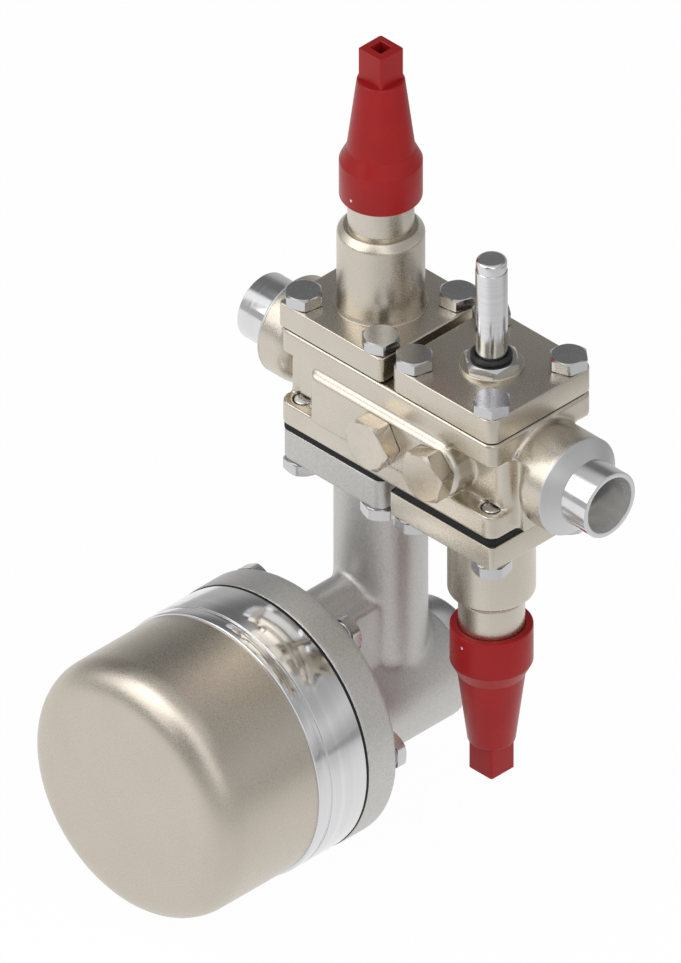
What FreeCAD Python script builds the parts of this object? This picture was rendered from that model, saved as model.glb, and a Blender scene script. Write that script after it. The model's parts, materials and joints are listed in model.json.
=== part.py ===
"""Refrigeration valve station: a four-port housing with two stop valves, a solenoid valve and a
float drain valve.

The origin is the centre of the inlet's weld end. +X follows the flow to the outlet, -Y is the front
with the side plugs and the float can, +Z is up. Every length is in millimetres.
"""
import FreeCAD, Part
import math
import os

import Sketcher

Vector = FreeCAD.Vector
doc = FreeCAD.newDocument("valve_station")

DRIVING_SIZES = {
    "pipe_outer": 33.7,
    "pipe_bore": 28.5,
    "pipe_land": 15.4,
    "weld_cone_length": 6.0,
    "neck_outer": 50.0,
    "neck_root": 33.0,
    "neck_shoulder": 8.5,
    "end_pad_height": 4.0,
    "end_pad_half_width": 16.5,
    "module_offset": 78.0,
    "module_pitch": 73.0,
    "flange_half": 34.0,
    "flange_thickness": 12.7,
    "flange_corner": 6.0,
    "flange_bevel": 0.8,
    "housing_half_height": 27.0,
    "core_half_width": 25.0,
    "core_corner": 7.0,
    "wall_inset": 14.0,
    "boss_inset": 24.0,
    "port_boss_rise": 4.0,
    "port_boss_round": 3.6,
    "gasket_thickness": 1.2,
    "gasket_inset": 1.0,
    "gasket_bore": 40.0,
    "joint_gap": 0.02,
    "running_gap": 0.06,
    "thread_gap": 0.05,
    "bolt_offset": 25.5,
    "bolt_size": 10.0,
    "bolt_clearance": 0.5,
    "bolt_key": 17.0,
    "bolt_head": 6.4,
    "bolt_engagement": 12.5,
    "bolt_chamfer": 1.2,
    "head_bevel": 0.4,
    "stop_chamber": 38.0,
    "stop_seat_depth": 21.5,
    "stop_seat_bore": 20.0,
    "inlet_well_depth": 16.0,
    "pipe_bore_depth": 26.0,
    "inlet_duct": 20.0,
    "inlet_duct_drop": 8.0,
    "outlet_duct": 15.0,
    "outlet_duct_start": 15.0,
    "outlet_duct_low": 17.0,
    "outlet_duct_high": 6.0,
    "piston_chamber": 36.0,
    "piston_chamber_depth": 22.0,
    "gallery_bore": 8.0,
    "gallery_offset": 15.5,
    "gallery_height": -1.5,
    "riser_setback": 5.0,
    "riser_bore": 6.0,
    "plug_key": 24.4,
    "plug_head": 7.6,
    "plug_thread": 16.0,
    "plug_thread_length": 12.0,
    "plug_seal_outer": 28.0,
    "plug_seal_thickness": 1.5,
    "plug_chamfer": 1.3,
    "port_bore": 4.0,
    "cover_thickness": 13.0,
    "bonnet_corner": 2.5,
    "cover_corner": 6.0,
    "bonnet_boss": 52.0,
    "bonnet_boss_height": 3.0,
    "boss_round": 1.2,
    "bonnet_fillet": 3.5,
    "plate_bevel": 0.8,
    "tower": 41.5,
    "tower_height": 54.0,
    "tower_cone_height": 3.4,
    "tower_cone_top": 35.2,
    "neck_groove": 0.7,
    "neck_groove_width": 1.2,
    "neck_bevel": 0.8,
    "neck": 31.4,
    "neck_height": 92.0,
    "register": 37.8,
    "register_depth": 6.0,
    "raised_face": 56.0,
    "lower_raise": 2.5,
    "float_raise": 1.7,
    "bonnet_cavity": 28.0,
    "bonnet_cavity_height": 24.0,
    "guide_start": 31.0,
    "gland_bore": 24.0,
    "gland_bore_depth": 30.0,
    "packing_height": 16.0,
    "gland_nut_body": 7.0,
    "gland_nut_height": 13.0,
    "gland_nut_key": 20.0,
    "spindle": 14.0,
    "spindle_tail": 12.0,
    "spindle_rise": 8.0,
    "spindle_neck": 12.0,
    "spindle_square": 9.0,
    "spindle_neck_length": 12.0,
    "spindle_square_length": 14.0,
    "square_bevel": 0.8,
    "cone_disc": 26.4,
    "cone_disc_height": 8.0,
    "cone_hub": 20.0,
    "cone_hub_top": 6.0,
    "cone_slope": 2.0,
    "cone_seal_thickness": 1.5,
    "cone_seal_bore": 18.0,
    "clip_bore": 10.1,
    "clip_outer": 15.6,
    "clip_thickness": 1.1,
    "clip_recess": 16.4,
    "clip_seat": 14.3,
    "tail_end": 17.0,
    "cap_engagement": 17.5,
    "cap_collar": 39.3,
    "cap_collar_height": 20.2,
    "cap_shoulder": 32.2,
    "cap_shoulder_height": 7.2,
    "cap_shoulder_round": 9.0,
    "cap_rim_bevel": 0.6,
    "cap_taper_top": 22.5,
    "cap_body_length": 66.2,
    "cap_crown": 1.5,
    "cap_square": 15.2,
    "cap_key_bevel": 1.6,
    "cap_key_length": 17.4,
    "cap_roof": 0.7,
    "cap_socket": 7.2,
    "cap_socket_depth": 8.0,
    "cap_thread_gap": 0.12,
    "cap_gasket_thickness": 1.5,
    "cap_gasket_bore": 25.0,
    "cap_inner": 24.8,
    "cap_inner_top": 16.4,
    "cap_wire_hole": 2.0,
    "cap_wire_height": 5.3,
    "cover_boss": 30.8,
    "cover_boss_height": 1.8,
    "cover_spigot_depth": 3.0,
    "liner_outer": 35.9,
    "liner_bore": 30.2,
    "liner_depth": 16.0,
    "piston": 29.9,
    "piston_bottom": 20.2,
    "piston_top": 8.6,
    "piston_cup": 25.0,
    "piston_web": 2.7,
    "piston_groove_top": 11.5,
    "piston_groove_height": 2.0,
    "piston_groove_depth": 2.0,
    "piston_seal": 23.0,
    "main_seat_outer": 25.8,
    "main_seat_bore": 17.0,
    "main_seat_sink": 2.0,
    "main_seat_height": 3.15,
    "piston_spring": 20.5,
    "piston_spring_wire": 1.4,
    "piston_spring_turns": 4.5,
    "pilot_seat": 10.0,
    "pilot_seat_nozzle": 4.4,
    "pilot_bore": 1.6,
    "pilot_lip": 0.4,
    "pilot_seat_depth": 2.0,
    "pilot_shoulder": 0.5,
    "tube": 15.2,
    "tube_neck": 14.2,
    "tube_step_rise": 0.3,
    "tube_tip": 14.4,
    "tube_bore": 12.3,
    "tube_flange": 20.0,
    "tube_flange_height": 3.0,
    "tube_foot": 5.0,
    "tube_shoulder": 69.2,
    "tube_top": 73.8,
    "tube_round": 2.0,
    "tube_groove": 1.5,
    "tube_groove_depth": 0.5,
    "tube_core": 53.05,
    "tube_nut_thread": 22.0,
    "tube_nut_key": 24.4,
    "tube_nut_height": 3.6,
    "ring_section": 2.5,
    "plunger": 12.1,
    "plunger_top": 50.0,
    "plunger_socket": 7.0,
    "plunger_socket_depth": 14.0,
    "plunger_gap": 0.05,
    "plunger_spring": 5.6,
    "plunger_spring_wire": 0.8,
    "plunger_spring_turns": 7.0,
    "float_flange_half": 33.5,
    "float_flange_thickness": 17.0,
    "column": 44.3,
    "column_fillet": 5.0,
    "elbow_outer": 21.0,
    "elbow_bore": 12.0,
    "elbow_height": -114.5,
    "barrel": 60.0,
    "barrel_bore": 40.0,
    "barrel_height": -176.2,
    "barrel_rear": 28.0,
    "end_plug": 54.0,
    "end_plug_length": 12.0,
    "end_plug_spigot": 6.0,
    "end_plug_socket": 12.0,
    "end_plug_socket_depth": 7.0,
    "end_plug_chamfer": 1.5,
    "float_axis_height": -158.6,
    "can_setback": 1.1,
    "can_wall": 3.0,
    "can_knuckle": 18.0,
    "can_crown": 2.0,
    "can_clearance": 6.6,
    "flange_margin": 9.0,
    "body_flange_rear": 56.7,
    "body_flange_thickness": 18.9,
    "flange_round": 2.0,
    "float_gasket_thickness": 1.0,
    "ring_setback": 0.4,
    "ring_land": 7.0,
    "can_lip": 1.5,
    "ring_tapped_length": 20.0,
    "ring_length": 31.0,
    "tapped_floor": 1.5,
    "ring_bevel": 1.0,
    "bead_groove": 0.8,
    "bead_width": 2.6,
    "float_bolt_circle": 118.0,
    "float_bolt_length": 34.0,
    "float_ball": 70.0,
    "float_ball_wall": 0.8,
    "ball_boss": 9.0,
    "ball_boss_rise": 3.0,
    "arm_clear": 7.0,
    "float_ball_height": -180.0,
    "hub_clear": 2.4,
    "pivot_height": -162.0,
    "pivot_pin": 4.0,
    "pivot_pin_length": 24.0,
    "pin_head": 6.5,
    "pin_head_height": 1.0,
    "arm_hub": 10.0,
    "arm_hub_length": 15.0,
    "arm_rod": 5.0,
    "fork_gap": 6.4,
    "fork_leg": 2.2,
    "fork_thickness": 2.4,
    "fork_setback": 1.0,
    "fork_reach": 2.0,
    "bracket_cheek": 3.0,
    "bracket_gap": 16.0,
    "bracket_low": -184.0,
    "bracket_nose": 5.0,
    "bracket_base": 3.0,
    "bracket_base_radius": 17.0,
    "bracket_top": -155.0,
    "bracket_hole": 14.0,
    "bracket_screw": 4.0,
    "bracket_screw_head": 7.0,
    "bracket_screw_head_height": 2.0,
    "bracket_screw_offset": 13.0,
    "bracket_screw_length": 9.0,
    "orifice_disc_length": 8.0,
    "orifice_bore": 8.0,
    "orifice_mouth": 10.4,
    "orifice_mouth_depth": 1.2,
    "orifice_web": 1.0,
    "needle_stem": 6.0,
    "needle_collar": 8.0,
    "needle_collar_play": 2.1,
    "needle_collar_length": 1.5,
    "needle_head": 11.0,
    "needle_head_play": 1.2,
    "needle_head_length": 1.6,
    "needle_nose": 3.0,
    "needle_point": 4.0,
    "needle_taper": 1.5,
    "needle_gap": 0.1,
}


class Size:
    """A length that carries its value and the sheet formula that it comes from."""

    def __init__(self, value, text):
        self.value = float(value)
        self.text = text

    def __add__(self, other):
        other = size(other)
        return Size(self.value + other.value, "(%s + %s)" % (self.text, other.text))

    def __sub__(self, other):
        other = size(other)
        return Size(self.value - other.value, "(%s - %s)" % (self.text, other.text))

    def __mul__(self, other):
        other = size(other)
        return Size(self.value * other.value, "(%s * %s)" % (self.text, other.text))

    def __truediv__(self, other):
        other = size(other)
        return Size(self.value / other.value, "(%s / %s)" % (self.text, other.text))

    def __neg__(self):
        return Size(-self.value, "(-1 * %s)" % self.text)

    def __radd__(self, other):
        return size(other) + self

    def __rsub__(self, other):
        return size(other) - self

    def __rmul__(self, other):
        return size(other) * self


def size(thing):
    """Take a plain number or a Size, and give a Size."""
    if isinstance(thing, Size):
        return thing
    return Size(thing, "%.9g" % thing if thing >= 0 else "(%.9g)" % thing)


class SizeTable:
    """The spreadsheet of driving dimensions, read by name."""

    def __init__(self, values):
        self.sheet = doc.addObject("Spreadsheet::Sheet", "Sizes")
        self.values = values
        for row, (name, value) in enumerate(values.items(), start=1):
            self.sheet.set("A%d" % row, name)
            self.sheet.set("B%d" % row, str(value))
            self.sheet.setAlias("B%d" % row, name)
        doc.recompute()

    def __getattr__(self, name):
        return Size(self.values[name], "Sizes." + name)


S = SizeTable(DRIVING_SIZES)

FLOAT_BOLTS = 6
TUBE_NUT_TURN = 24

inlet_x = S.module_offset
outlet_x = S.module_offset + S.module_pitch
station_length = outlet_x + S.module_offset
housing_left = inlet_x - S.flange_half
housing_right = outlet_x + S.flange_half
flange_lip = S.housing_half_height - S.flange_thickness
upper_seam = S.housing_half_height + S.gasket_thickness
lower_seam = -(upper_seam + S.lower_raise)
float_seam = -(upper_seam + S.float_raise)
stop_floor = upper_seam - S.stop_seat_depth
stop_ceiling = lower_seam + S.stop_seat_depth
port_face = S.flange_half + S.port_boss_rise
piston_floor = S.housing_half_height - S.piston_chamber_depth
body_flange_front = S.body_flange_rear + S.body_flange_thickness
ring_start = body_flange_front + S.float_gasket_thickness
can_start = ring_start + S.ring_length
body_flange = S.float_bolt_circle + 2 * S.flange_margin
ring_outer = body_flange - 2 * S.ring_setback
ring_bore = S.float_bolt_circle - 2 * S.ring_land
can_outer = ring_outer - 2 * S.can_setback
pivot_reach = body_flange_front + S.bracket_base + S.arm_hub / 2 + S.hub_clear
ball_reach = pivot_reach + S.float_ball / 2 + S.arm_clear
can_front = ball_reach + S.float_ball / 2 + S.can_clearance + S.can_wall
gland_start = S.neck_height - S.gland_bore_depth
spindle_shoulder = S.neck_height + S.spindle_rise
cap_start = S.neck_height - S.cap_engagement
cap_taper_end = cap_start + S.cap_body_length
cap_top = cap_taper_end + S.cap_key_length

parts = []


def new_part(label):
    """Start a sub-part's own body."""
    body = doc.addObject("PartDesign::Body", label)
    body.Label = label
    parts.append(body)
    return body


def bind(feature, **properties):
    """Tie a feature's lengths to the sheet."""
    for name, length in properties.items():
        length = size(length)
        setattr(feature, name, length.value)
        feature.setExpression(name, length.text)


def bind_place(thing, x=0, y=0, z=0, axis=Vector(0, 0, 1), angle=0):
    """Turn a body or a primitive, and tie its place to the sheet."""
    point = [size(x), size(y), size(z)]
    base = Vector(*[length.value for length in point])
    thing.Placement = FreeCAD.Placement(base, FreeCAD.Rotation(axis, angle))
    for letter, length in zip("xyz", point):
        thing.setExpression("Placement.Base." + letter, length.text)


def origin_feature(body, role):
    """Find one of a body's own origin planes or axes."""
    return [item for item in body.Origin.OriginFeatures if item.Role == role][0]


def sketch_on(body, role, name, offset=0):
    """Add a sketch on an origin plane of the body, moved along the plane's normal."""
    sketch = body.newObject("Sketcher::SketchObject", name)
    sketch.AttachmentSupport = (origin_feature(body, role), "")
    sketch.MapMode = "FlatFace"
    offset = size(offset)
    sketch.AttachmentOffset = FreeCAD.Placement(Vector(0, 0, offset.value), FreeCAD.Rotation())
    sketch.setExpression("AttachmentOffset.Base.z", offset.text)
    return sketch


def bound_constraint(sketch, kind, *where):
    """Add a sketch dimension whose last item is a Size, and tie it to the sheet."""
    length = where[-1]
    index = sketch.addConstraint(Sketcher.Constraint(kind, *where[:-1], length.value))
    sketch.setExpression("Constraints[%d]" % index, length.text)


def pin_point(sketch, geometry, position, x, y):
    """Hold one point of a sketch at x, y from its origin."""
    for kind, axis, length in (("DistanceX", -2, size(x)), ("DistanceY", -1, size(y))):
        if abs(length.value) < 1e-9:
            sketch.addConstraint(Sketcher.Constraint("PointOnObject", geometry, position, axis))
        else:
            bound_constraint(sketch, kind, -1, 1, geometry, position, length)


def draw_circle(sketch, x, y, diameter):
    """Draw a circle with its centre and radius tied to the sheet."""
    x, y, radius = size(x), size(y), size(diameter) / 2
    centre = Vector(x.value, y.value, 0)
    index = sketch.addGeometry(Part.Circle(centre, Vector(0, 0, 1), radius.value))
    pin_point(sketch, index, 3, x, y)
    bound_constraint(sketch, "Radius", index, radius)


def arc_between(start, end, radius, turn):
    """The shorter arc from start to end: turn is 1 counter-clockwise and -1 clockwise."""
    chord = end - start
    middle = (start + end) * 0.5
    height = math.sqrt(max(radius ** 2 - (chord.Length / 2) ** 2, 0.0))
    left = Vector(-chord.y, chord.x, 0).normalize()
    centre = middle + left * (height * turn)
    first, last = (start, end) if turn > 0 else (end, start)
    angles = [math.atan2(point.y - centre.y, point.x - centre.x) for point in (first, last)]
    return Part.ArcOfCircle(Part.Circle(centre, Vector(0, 0, 1), radius), *angles)


def draw_outline(sketch, points):
    """Draw a closed outline. A point is (x, y), or (x, y, radius, turn) at the end of an arc."""
    places = [Vector(size(point[0]).value, size(point[1]).value, 0) for point in points]
    ends = []
    for number, point in enumerate(points):
        start, end = places[number - 1], places[number]
        if len(point) == 2:
            index = sketch.addGeometry(Part.LineSegment(start, end))
            ends.append((index, 1, 2))
        else:
            radius, turn = size(point[2]), point[3]
            index = sketch.addGeometry(arc_between(start, end, radius.value, turn))
            ends.append((index, 1, 2) if turn > 0 else (index, 2, 1))
    for number, (index, first, last) in enumerate(ends):
        follower, follower_first, _ = ends[(number + 1) % len(ends)]
        sketch.addConstraint(Sketcher.Constraint("Coincident", index, last, follower, follower_first))
    for (index, first, last), point in zip(ends, points):
        pin_point(sketch, index, last, point[0], point[1])
    for (index, first, last), point in zip(ends, points):
        if len(point) == 4:
            bound_constraint(sketch, "Radius", index, size(point[2]))


def rectangle(x0, x1, y0, y1):
    """The corners of an upright rectangle, counter-clockwise."""
    return [(x0, y0), (x1, y0), (x1, y1), (x0, y1)]


def hexagon(x, y, key, start_angle=0):
    """The corners of a hexagon from its width across the flats."""
    reach = key / math.sqrt(3)
    angles = [math.radians(start_angle + 60 * step) for step in range(6)]
    return [(x + reach * math.cos(angle), y + reach * math.sin(angle)) for angle in angles]


def pad(body, sketch, name, length, reverse=False):
    """Raise a sketch into a solid."""
    feature = body.newObject("PartDesign::Pad", name)
    feature.Profile = sketch
    feature.Reversed = reverse
    bind(feature, Length=length)
    return feature


def pocket(body, sketch, name, length, reverse=False):
    """Cut a sketch out of the solid."""
    feature = body.newObject("PartDesign::Pocket", name)
    feature.Profile = sketch
    feature.Reversed = reverse
    bind(feature, Length=length)
    return feature


def turned(body, name, outline, role="XZ_Plane", axis="V_Axis", cut=False, centre_line=None):
    """Turn an outline about a sketch axis, or about its own centre line, as a solid or as a cut."""
    sketch = sketch_on(body, role, name + "_outline")
    draw_outline(sketch, outline)
    if centre_line:
        ends = [Vector(size(x).value, size(y).value, 0) for x, y in centre_line]
        line = sketch.addGeometry(Part.LineSegment(*ends), True)
        for position, (x, y) in enumerate(centre_line, start=1):
            pin_point(sketch, line, position, x, y)
        axis = "Axis0"
    kind = "PartDesign::Groove" if cut else "PartDesign::Revolution"
    feature = body.newObject(kind, name)
    feature.Profile = sketch
    feature.ReferenceAxis = (sketch, [axis])
    feature.Angle = 360
    return feature


TURN_TO = {"+X": (Vector(0, 1, 0), 90), "-X": (Vector(0, 1, 0), -90), "+Y": (Vector(1, 0, 0), -90),
           "-Y": (Vector(1, 0, 0), 90), "+Z": (Vector(0, 0, 1), 0), "-Z": (Vector(1, 0, 0), 180)}


def rod(body, name, diameter, start, direction, length):
    """Add a round bar to the solid."""
    feature = body.newObject("PartDesign::AdditiveCylinder", name)
    bind(feature, Radius=size(diameter) / 2, Height=length)
    bind_place(feature, *start, *TURN_TO[direction])
    return feature


def drill(body, name, diameter, start, direction, depth):
    """Take a round hole out of the solid."""
    feature = body.newObject("PartDesign::SubtractiveCylinder", name)
    bind(feature, Radius=size(diameter) / 2, Height=depth)
    bind_place(feature, *start, *TURN_TO[direction])
    return feature


def edges_where(feature, test):
    """Name the edges of a feature's solid that pass a test."""
    doc.recompute()
    edges = enumerate(feature.Shape.Edges, start=1)
    return ["Edge%d" % number for number, edge in edges if test(edge)]


def rounded(body, feature, name, radius, test):
    """Round the edges of the solid that pass a test."""
    fillet = body.newObject("PartDesign::Fillet", name)
    fillet.Base = (feature, edges_where(feature, test))
    bind(fillet, Radius=radius)
    return fillet


def bevelled(body, feature, name, length, test):
    """Bevel the edges of the solid that pass a test."""
    bevel = body.newObject("PartDesign::Chamfer", name)
    bevel.Base = (feature, edges_where(feature, test))
    bind(bevel, Size=length)
    return bevel


def bolt_corners(x=0):
    """The four bolt places of one module flange."""
    return [(x + side * S.bolt_offset, end * S.bolt_offset) for side in (-1, 1) for end in (-1, 1)]


def drill_bolts(body, name, height, diameter, depth, places, reverse=False):
    """Drill the flange's bolt holes from a level plane."""
    sketch = sketch_on(body, "XY_Plane", name + "_circles", height)
    for x, y in places:
        draw_circle(sketch, x, y, diameter)
    return pocket(body, sketch, name, depth, reverse)


def ring(label, inner, outer, low, high):
    """A plain ring about Z."""
    body = new_part(label)
    turned(body, "ring", rectangle(size(inner) / 2, size(outer) / 2, low, high))
    return body


def bevel_head(body, name, key, top, x=0):
    """Turn the corners of a hexagon head back to a cone at its top."""
    inner = key / 2 - S.head_bevel
    outer = key / math.sqrt(3) + 1.0
    fall = (outer - inner) * math.tan(math.radians(30))
    outline = [(x + inner, top), (x + outer, top - fall), (x + outer, top)]
    return turned(body, name, outline, cut=True, centre_line=[(x, top), (x, top + 1)])


def stand(body, module, dx=0, dy=0):
    """Place a body of a valve module: its Z starts at the seam and points away from the housing."""
    x, seam, hanging = module
    if hanging:
        bind_place(body, x - dx, dy, seam, Vector(0, 1, 0), 180)
    else:
        bind_place(body, x + dx, dy, seam)


def hex_bolts(label, module, flange_thickness, rise, head_turn):
    """Four hexagon head bolts, seated on a module's flange and screwed into the housing."""
    body = new_part(label)
    sketch = sketch_on(body, "XY_Plane", "head_plan", flange_thickness)
    draw_outline(sketch, hexagon(0, 0, S.bolt_key, head_turn))
    head = pad(body, sketch, "head", S.bolt_head)
    bevel = bevel_head(body, "head_bevel", S.bolt_key, flange_thickness + S.bolt_head)
    tip = -(S.gasket_thickness + rise + S.bolt_engagement)
    neck = flange_thickness + S.bolt_head / 2
    outline = [(0, tip), (S.bolt_size / 2 - S.bolt_chamfer, tip), (S.bolt_size / 2, tip + S.bolt_chamfer),
               (S.bolt_size / 2, neck), (0, neck)]
    shank = turned(body, "shank", outline)
    pattern = body.newObject("PartDesign::LinearPattern", "four_bolts")
    pattern.Originals = [head, bevel, shank]
    pattern.Direction = (origin_feature(body, "X_Axis"), [""])
    pattern.Direction2 = (origin_feature(body, "Y_Axis"), [""])
    pattern.Occurrences = 2
    pattern.Occurrences2 = 2
    bind(pattern, Length=2 * S.bolt_offset, Length2=2 * S.bolt_offset)
    body.Tip = pattern
    stand(body, module, -S.bolt_offset, -S.bolt_offset)


def rounded_square(half, corner):
    """The outline of a square plate with round corners."""
    flat = half - corner
    return [(flat, -half), (half, -flat, corner, 1), (half, flat), (flat, half, corner, 1),
            (-flat, half), (-half, flat, corner, 1), (-half, -flat), (-flat, -half, corner, 1)]


def square_gasket(label, module, corner):
    """A flat gasket between the housing and a module, cut round the chamber and the bolts."""
    body = new_part(label)
    sketch = sketch_on(body, "XY_Plane", "plan", -S.gasket_thickness)
    draw_outline(sketch, rounded_square(S.flange_half - S.gasket_inset, corner))
    draw_circle(sketch, 0, 0, S.gasket_bore)
    for x, y in bolt_corners():
        draw_circle(sketch, x, y, S.bolt_size + 2 * S.bolt_clearance)
    pad(body, sketch, "sheet", S.gasket_thickness)
    stand(body, module)


def make_housing():
    """The cast block: two flanged levels, a front port boss, two weld ends and the flow passages."""
    body = new_part("housing")
    left, right, core = housing_left, housing_right, S.core_half_width
    sketch = sketch_on(body, "XY_Plane", "core_plan", -flange_lip)
    corner = S.core_corner
    draw_outline(sketch, [(left, core), (left, -core), (right - corner, -core),
                          (right, -core + corner, corner, 1), (right, core - corner),
                          (right - corner, core, corner, 1)])
    pad(body, sketch, "core", 2 * flange_lip)
    sketch = sketch_on(body, "XY_Plane", "wall_plan", -flange_lip)
    draw_outline(sketch, rectangle(left + S.wall_inset, outlet_x, -S.flange_half, S.flange_half))
    pad(body, sketch, "side_walls", 2 * flange_lip)
    sketch = sketch_on(body, "XZ_Plane", "port_boss_face", port_face)
    draw_outline(sketch, [(left + S.boss_inset, flange_lip), (left + S.boss_inset, -flange_lip),
                          (outlet_x, -flange_lip), (outlet_x + flange_lip, 0, flange_lip, 1),
                          (outlet_x, flange_lip, flange_lip, 1)])
    boss = pad(body, sketch, "port_boss", port_face - core, reverse=True)
    face = -port_face.value
    foot = -flange_lip.value
    rounded(body, boss, "port_boss_edge", S.port_boss_round,
            lambda edge: all(abs(vertex.Y - face) < 1e-4 for vertex in edge.Vertexes)
            and any(vertex.Z > foot + 1e-4 for vertex in edge.Vertexes))
    for name, low, bright_edge in (("upper_flange", flange_lip, S.housing_half_height),
                                   ("lower_flange", -S.housing_half_height, -S.housing_half_height)):
        sketch = sketch_on(body, "XY_Plane", name + "_plan", low)
        corner = S.flange_corner
        half = S.flange_half
        draw_outline(sketch, [(right - corner, -half), (right, -half + corner, corner, 1),
                              (right, half - corner), (right - corner, half, corner, 1),
                              (left + corner, half), (left, half - corner, corner, 1),
                              (left, -half + corner), (left + corner, -half, corner, 1)])
        flange = pad(body, sketch, name, S.flange_thickness)
        level = bright_edge.value
        bevelled(body, flange, name + "_edge", S.flange_bevel,
                 lambda edge: all(abs(vertex.Z - level) < 1e-4 for vertex in edge.Vertexes))
    sketch = sketch_on(body, "YZ_Plane", "end_pad_face", left - S.end_pad_height)
    wide = S.end_pad_half_width
    draw_outline(sketch, rectangle(-wide, wide, -S.housing_half_height, flange_lip))
    pad(body, sketch, "end_pads", right - left + 2 * S.end_pad_height)
    crown_reach = S.end_pad_height + S.neck_shoulder
    crown = S.neck_outer / 2
    chord = Size(math.sqrt(crown.value ** 2 - flange_lip.value ** 2),
                 "sqrt(%s ^ 2 - %s ^ 2)" % (crown.text, flange_lip.text))
    sketch = sketch_on(body, "YZ_Plane", "neck_crown_face", left - crown_reach)
    draw_outline(sketch, [(chord, flange_lip), (-chord, flange_lip, crown, 1)])
    pad(body, sketch, "neck_crowns", right - left + 2 * crown_reach)
    for name, end, side in (("inlet_neck", 0, 1), ("outlet_neck", station_length, -1)):
        cone = S.pipe_land + S.weld_cone_length
        root = left - S.end_pad_height
        shoulder = root - S.neck_shoulder
        turned(body, name, [
            (end, 0), (end, S.pipe_outer / 2),
            (end + side * S.pipe_land, S.pipe_outer / 2), (end + side * cone, S.neck_outer / 2),
            (end + side * shoulder, S.neck_outer / 2),
            (end + side * root, S.neck_root / 2, S.neck_shoulder, -side),
            (end + side * (left + 1), S.neck_root / 2), (end + side * (left + 1), 0)], axis="H_Axis")
    cut_flow_passages(body)


def cut_flow_passages(body):
    """The chambers, ports, ducts and tapped holes of the housing."""
    half = S.housing_half_height
    drill(body, "inlet_bore", S.pipe_bore, (0, 0, 0), "+X", S.pipe_bore_depth)
    drill(body, "outlet_bore", S.pipe_bore, (station_length, 0, 0), "-X", S.pipe_bore_depth)
    drill(body, "inlet_stop_chamber", S.stop_chamber, (inlet_x, 0, half), "-Z", half - stop_floor)
    drill(body, "inlet_well", S.stop_seat_bore, (inlet_x, 0, stop_floor), "-Z",
          stop_floor + S.inlet_well_depth)
    sloping_duct(body, "inlet_duct", S.inlet_duct, S.pipe_bore_depth - 1, inlet_x, 0, S.inlet_duct_drop)
    drill(body, "outlet_stop_chamber", S.stop_chamber, (outlet_x, 0, -half), "+Z", half + stop_ceiling)
    drill(body, "shared_port", S.stop_seat_bore, (outlet_x, 0, piston_floor), "-Z",
          piston_floor - stop_ceiling)
    drill(body, "piston_chamber", S.piston_chamber, (outlet_x, 0, half), "-Z", half - piston_floor)
    drill(body, "main_seat_recess", S.main_seat_outer + 2 * S.joint_gap, (outlet_x, 0, piston_floor),
          "-Z", S.main_seat_sink)
    end = station_length - S.pipe_bore_depth
    sloping_duct(body, "outlet_duct", S.outlet_duct, outlet_x + S.outlet_duct_start, end + 1,
                 -S.outlet_duct_low, S.outlet_duct_low - S.outlet_duct_high, rising=True)
    drill(body, "float_feed", S.gallery_bore, (inlet_x, -S.gallery_offset, stop_floor), "-Z",
          stop_floor + half)
    drill(body, "float_return", S.gallery_bore, (inlet_x, S.gallery_offset, S.gallery_height), "-Z",
          S.gallery_height + half)
    drill(body, "gallery", S.gallery_bore, (inlet_x, S.gallery_offset, S.gallery_height), "+X",
          S.module_pitch - S.riser_setback)
    drill(body, "riser", S.riser_bore, (outlet_x - S.riser_setback, S.gallery_offset, piston_floor),
          "-Z", piston_floor - S.gallery_height)
    thread = S.plug_thread + 2 * S.thread_gap
    for name, x, depth in (("left_port", station_length / 2, port_face + S.gallery_offset),
                           ("right_port", outlet_x, port_face - S.stop_seat_bore / 4)):
        drill(body, name + "_thread", thread, (x, -port_face, 0), "+Y", S.plug_thread_length + 2)
        drill(body, name + "_bore", S.port_bore, (x, -port_face, 0), "+Y", depth)
    tapped = S.bolt_size + 2 * S.thread_gap
    depth = S.bolt_engagement + 1
    places = bolt_corners(inlet_x) + bolt_corners(outlet_x)
    drill_bolts(body, "upper_tapped_holes", half, tapped, depth, places)
    drill_bolts(body, "lower_tapped_holes", -half, tapped, depth, places, reverse=True)


def sloping_duct(body, name, diameter, start_x, end_x, start_z, drop, rising=False):
    """A round duct on the flow's plane, from start_x to end_x, that falls or rises by drop."""
    feature = body.newObject("PartDesign::SubtractiveCylinder", name)
    run = end_x - start_x
    slope = math.atan(drop.value / run.value)
    bind(feature, Radius=diameter / 2)
    feature.Height = run.value / math.cos(slope)
    feature.setExpression("Height", "sqrt(%s ^ 2 + %s ^ 2)" % (run.text, drop.text))
    turn = 90 - math.degrees(slope) * (1 if rising else -1)
    bind_place(feature, start_x, 0, start_z, Vector(0, 1, 0), turn)
    sign = "-" if rising else "+"
    feature.setExpression("Placement.Rotation.Angle",
                          "90 deg %s atan(%s / %s)" % (sign, drop.text, run.text))


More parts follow.
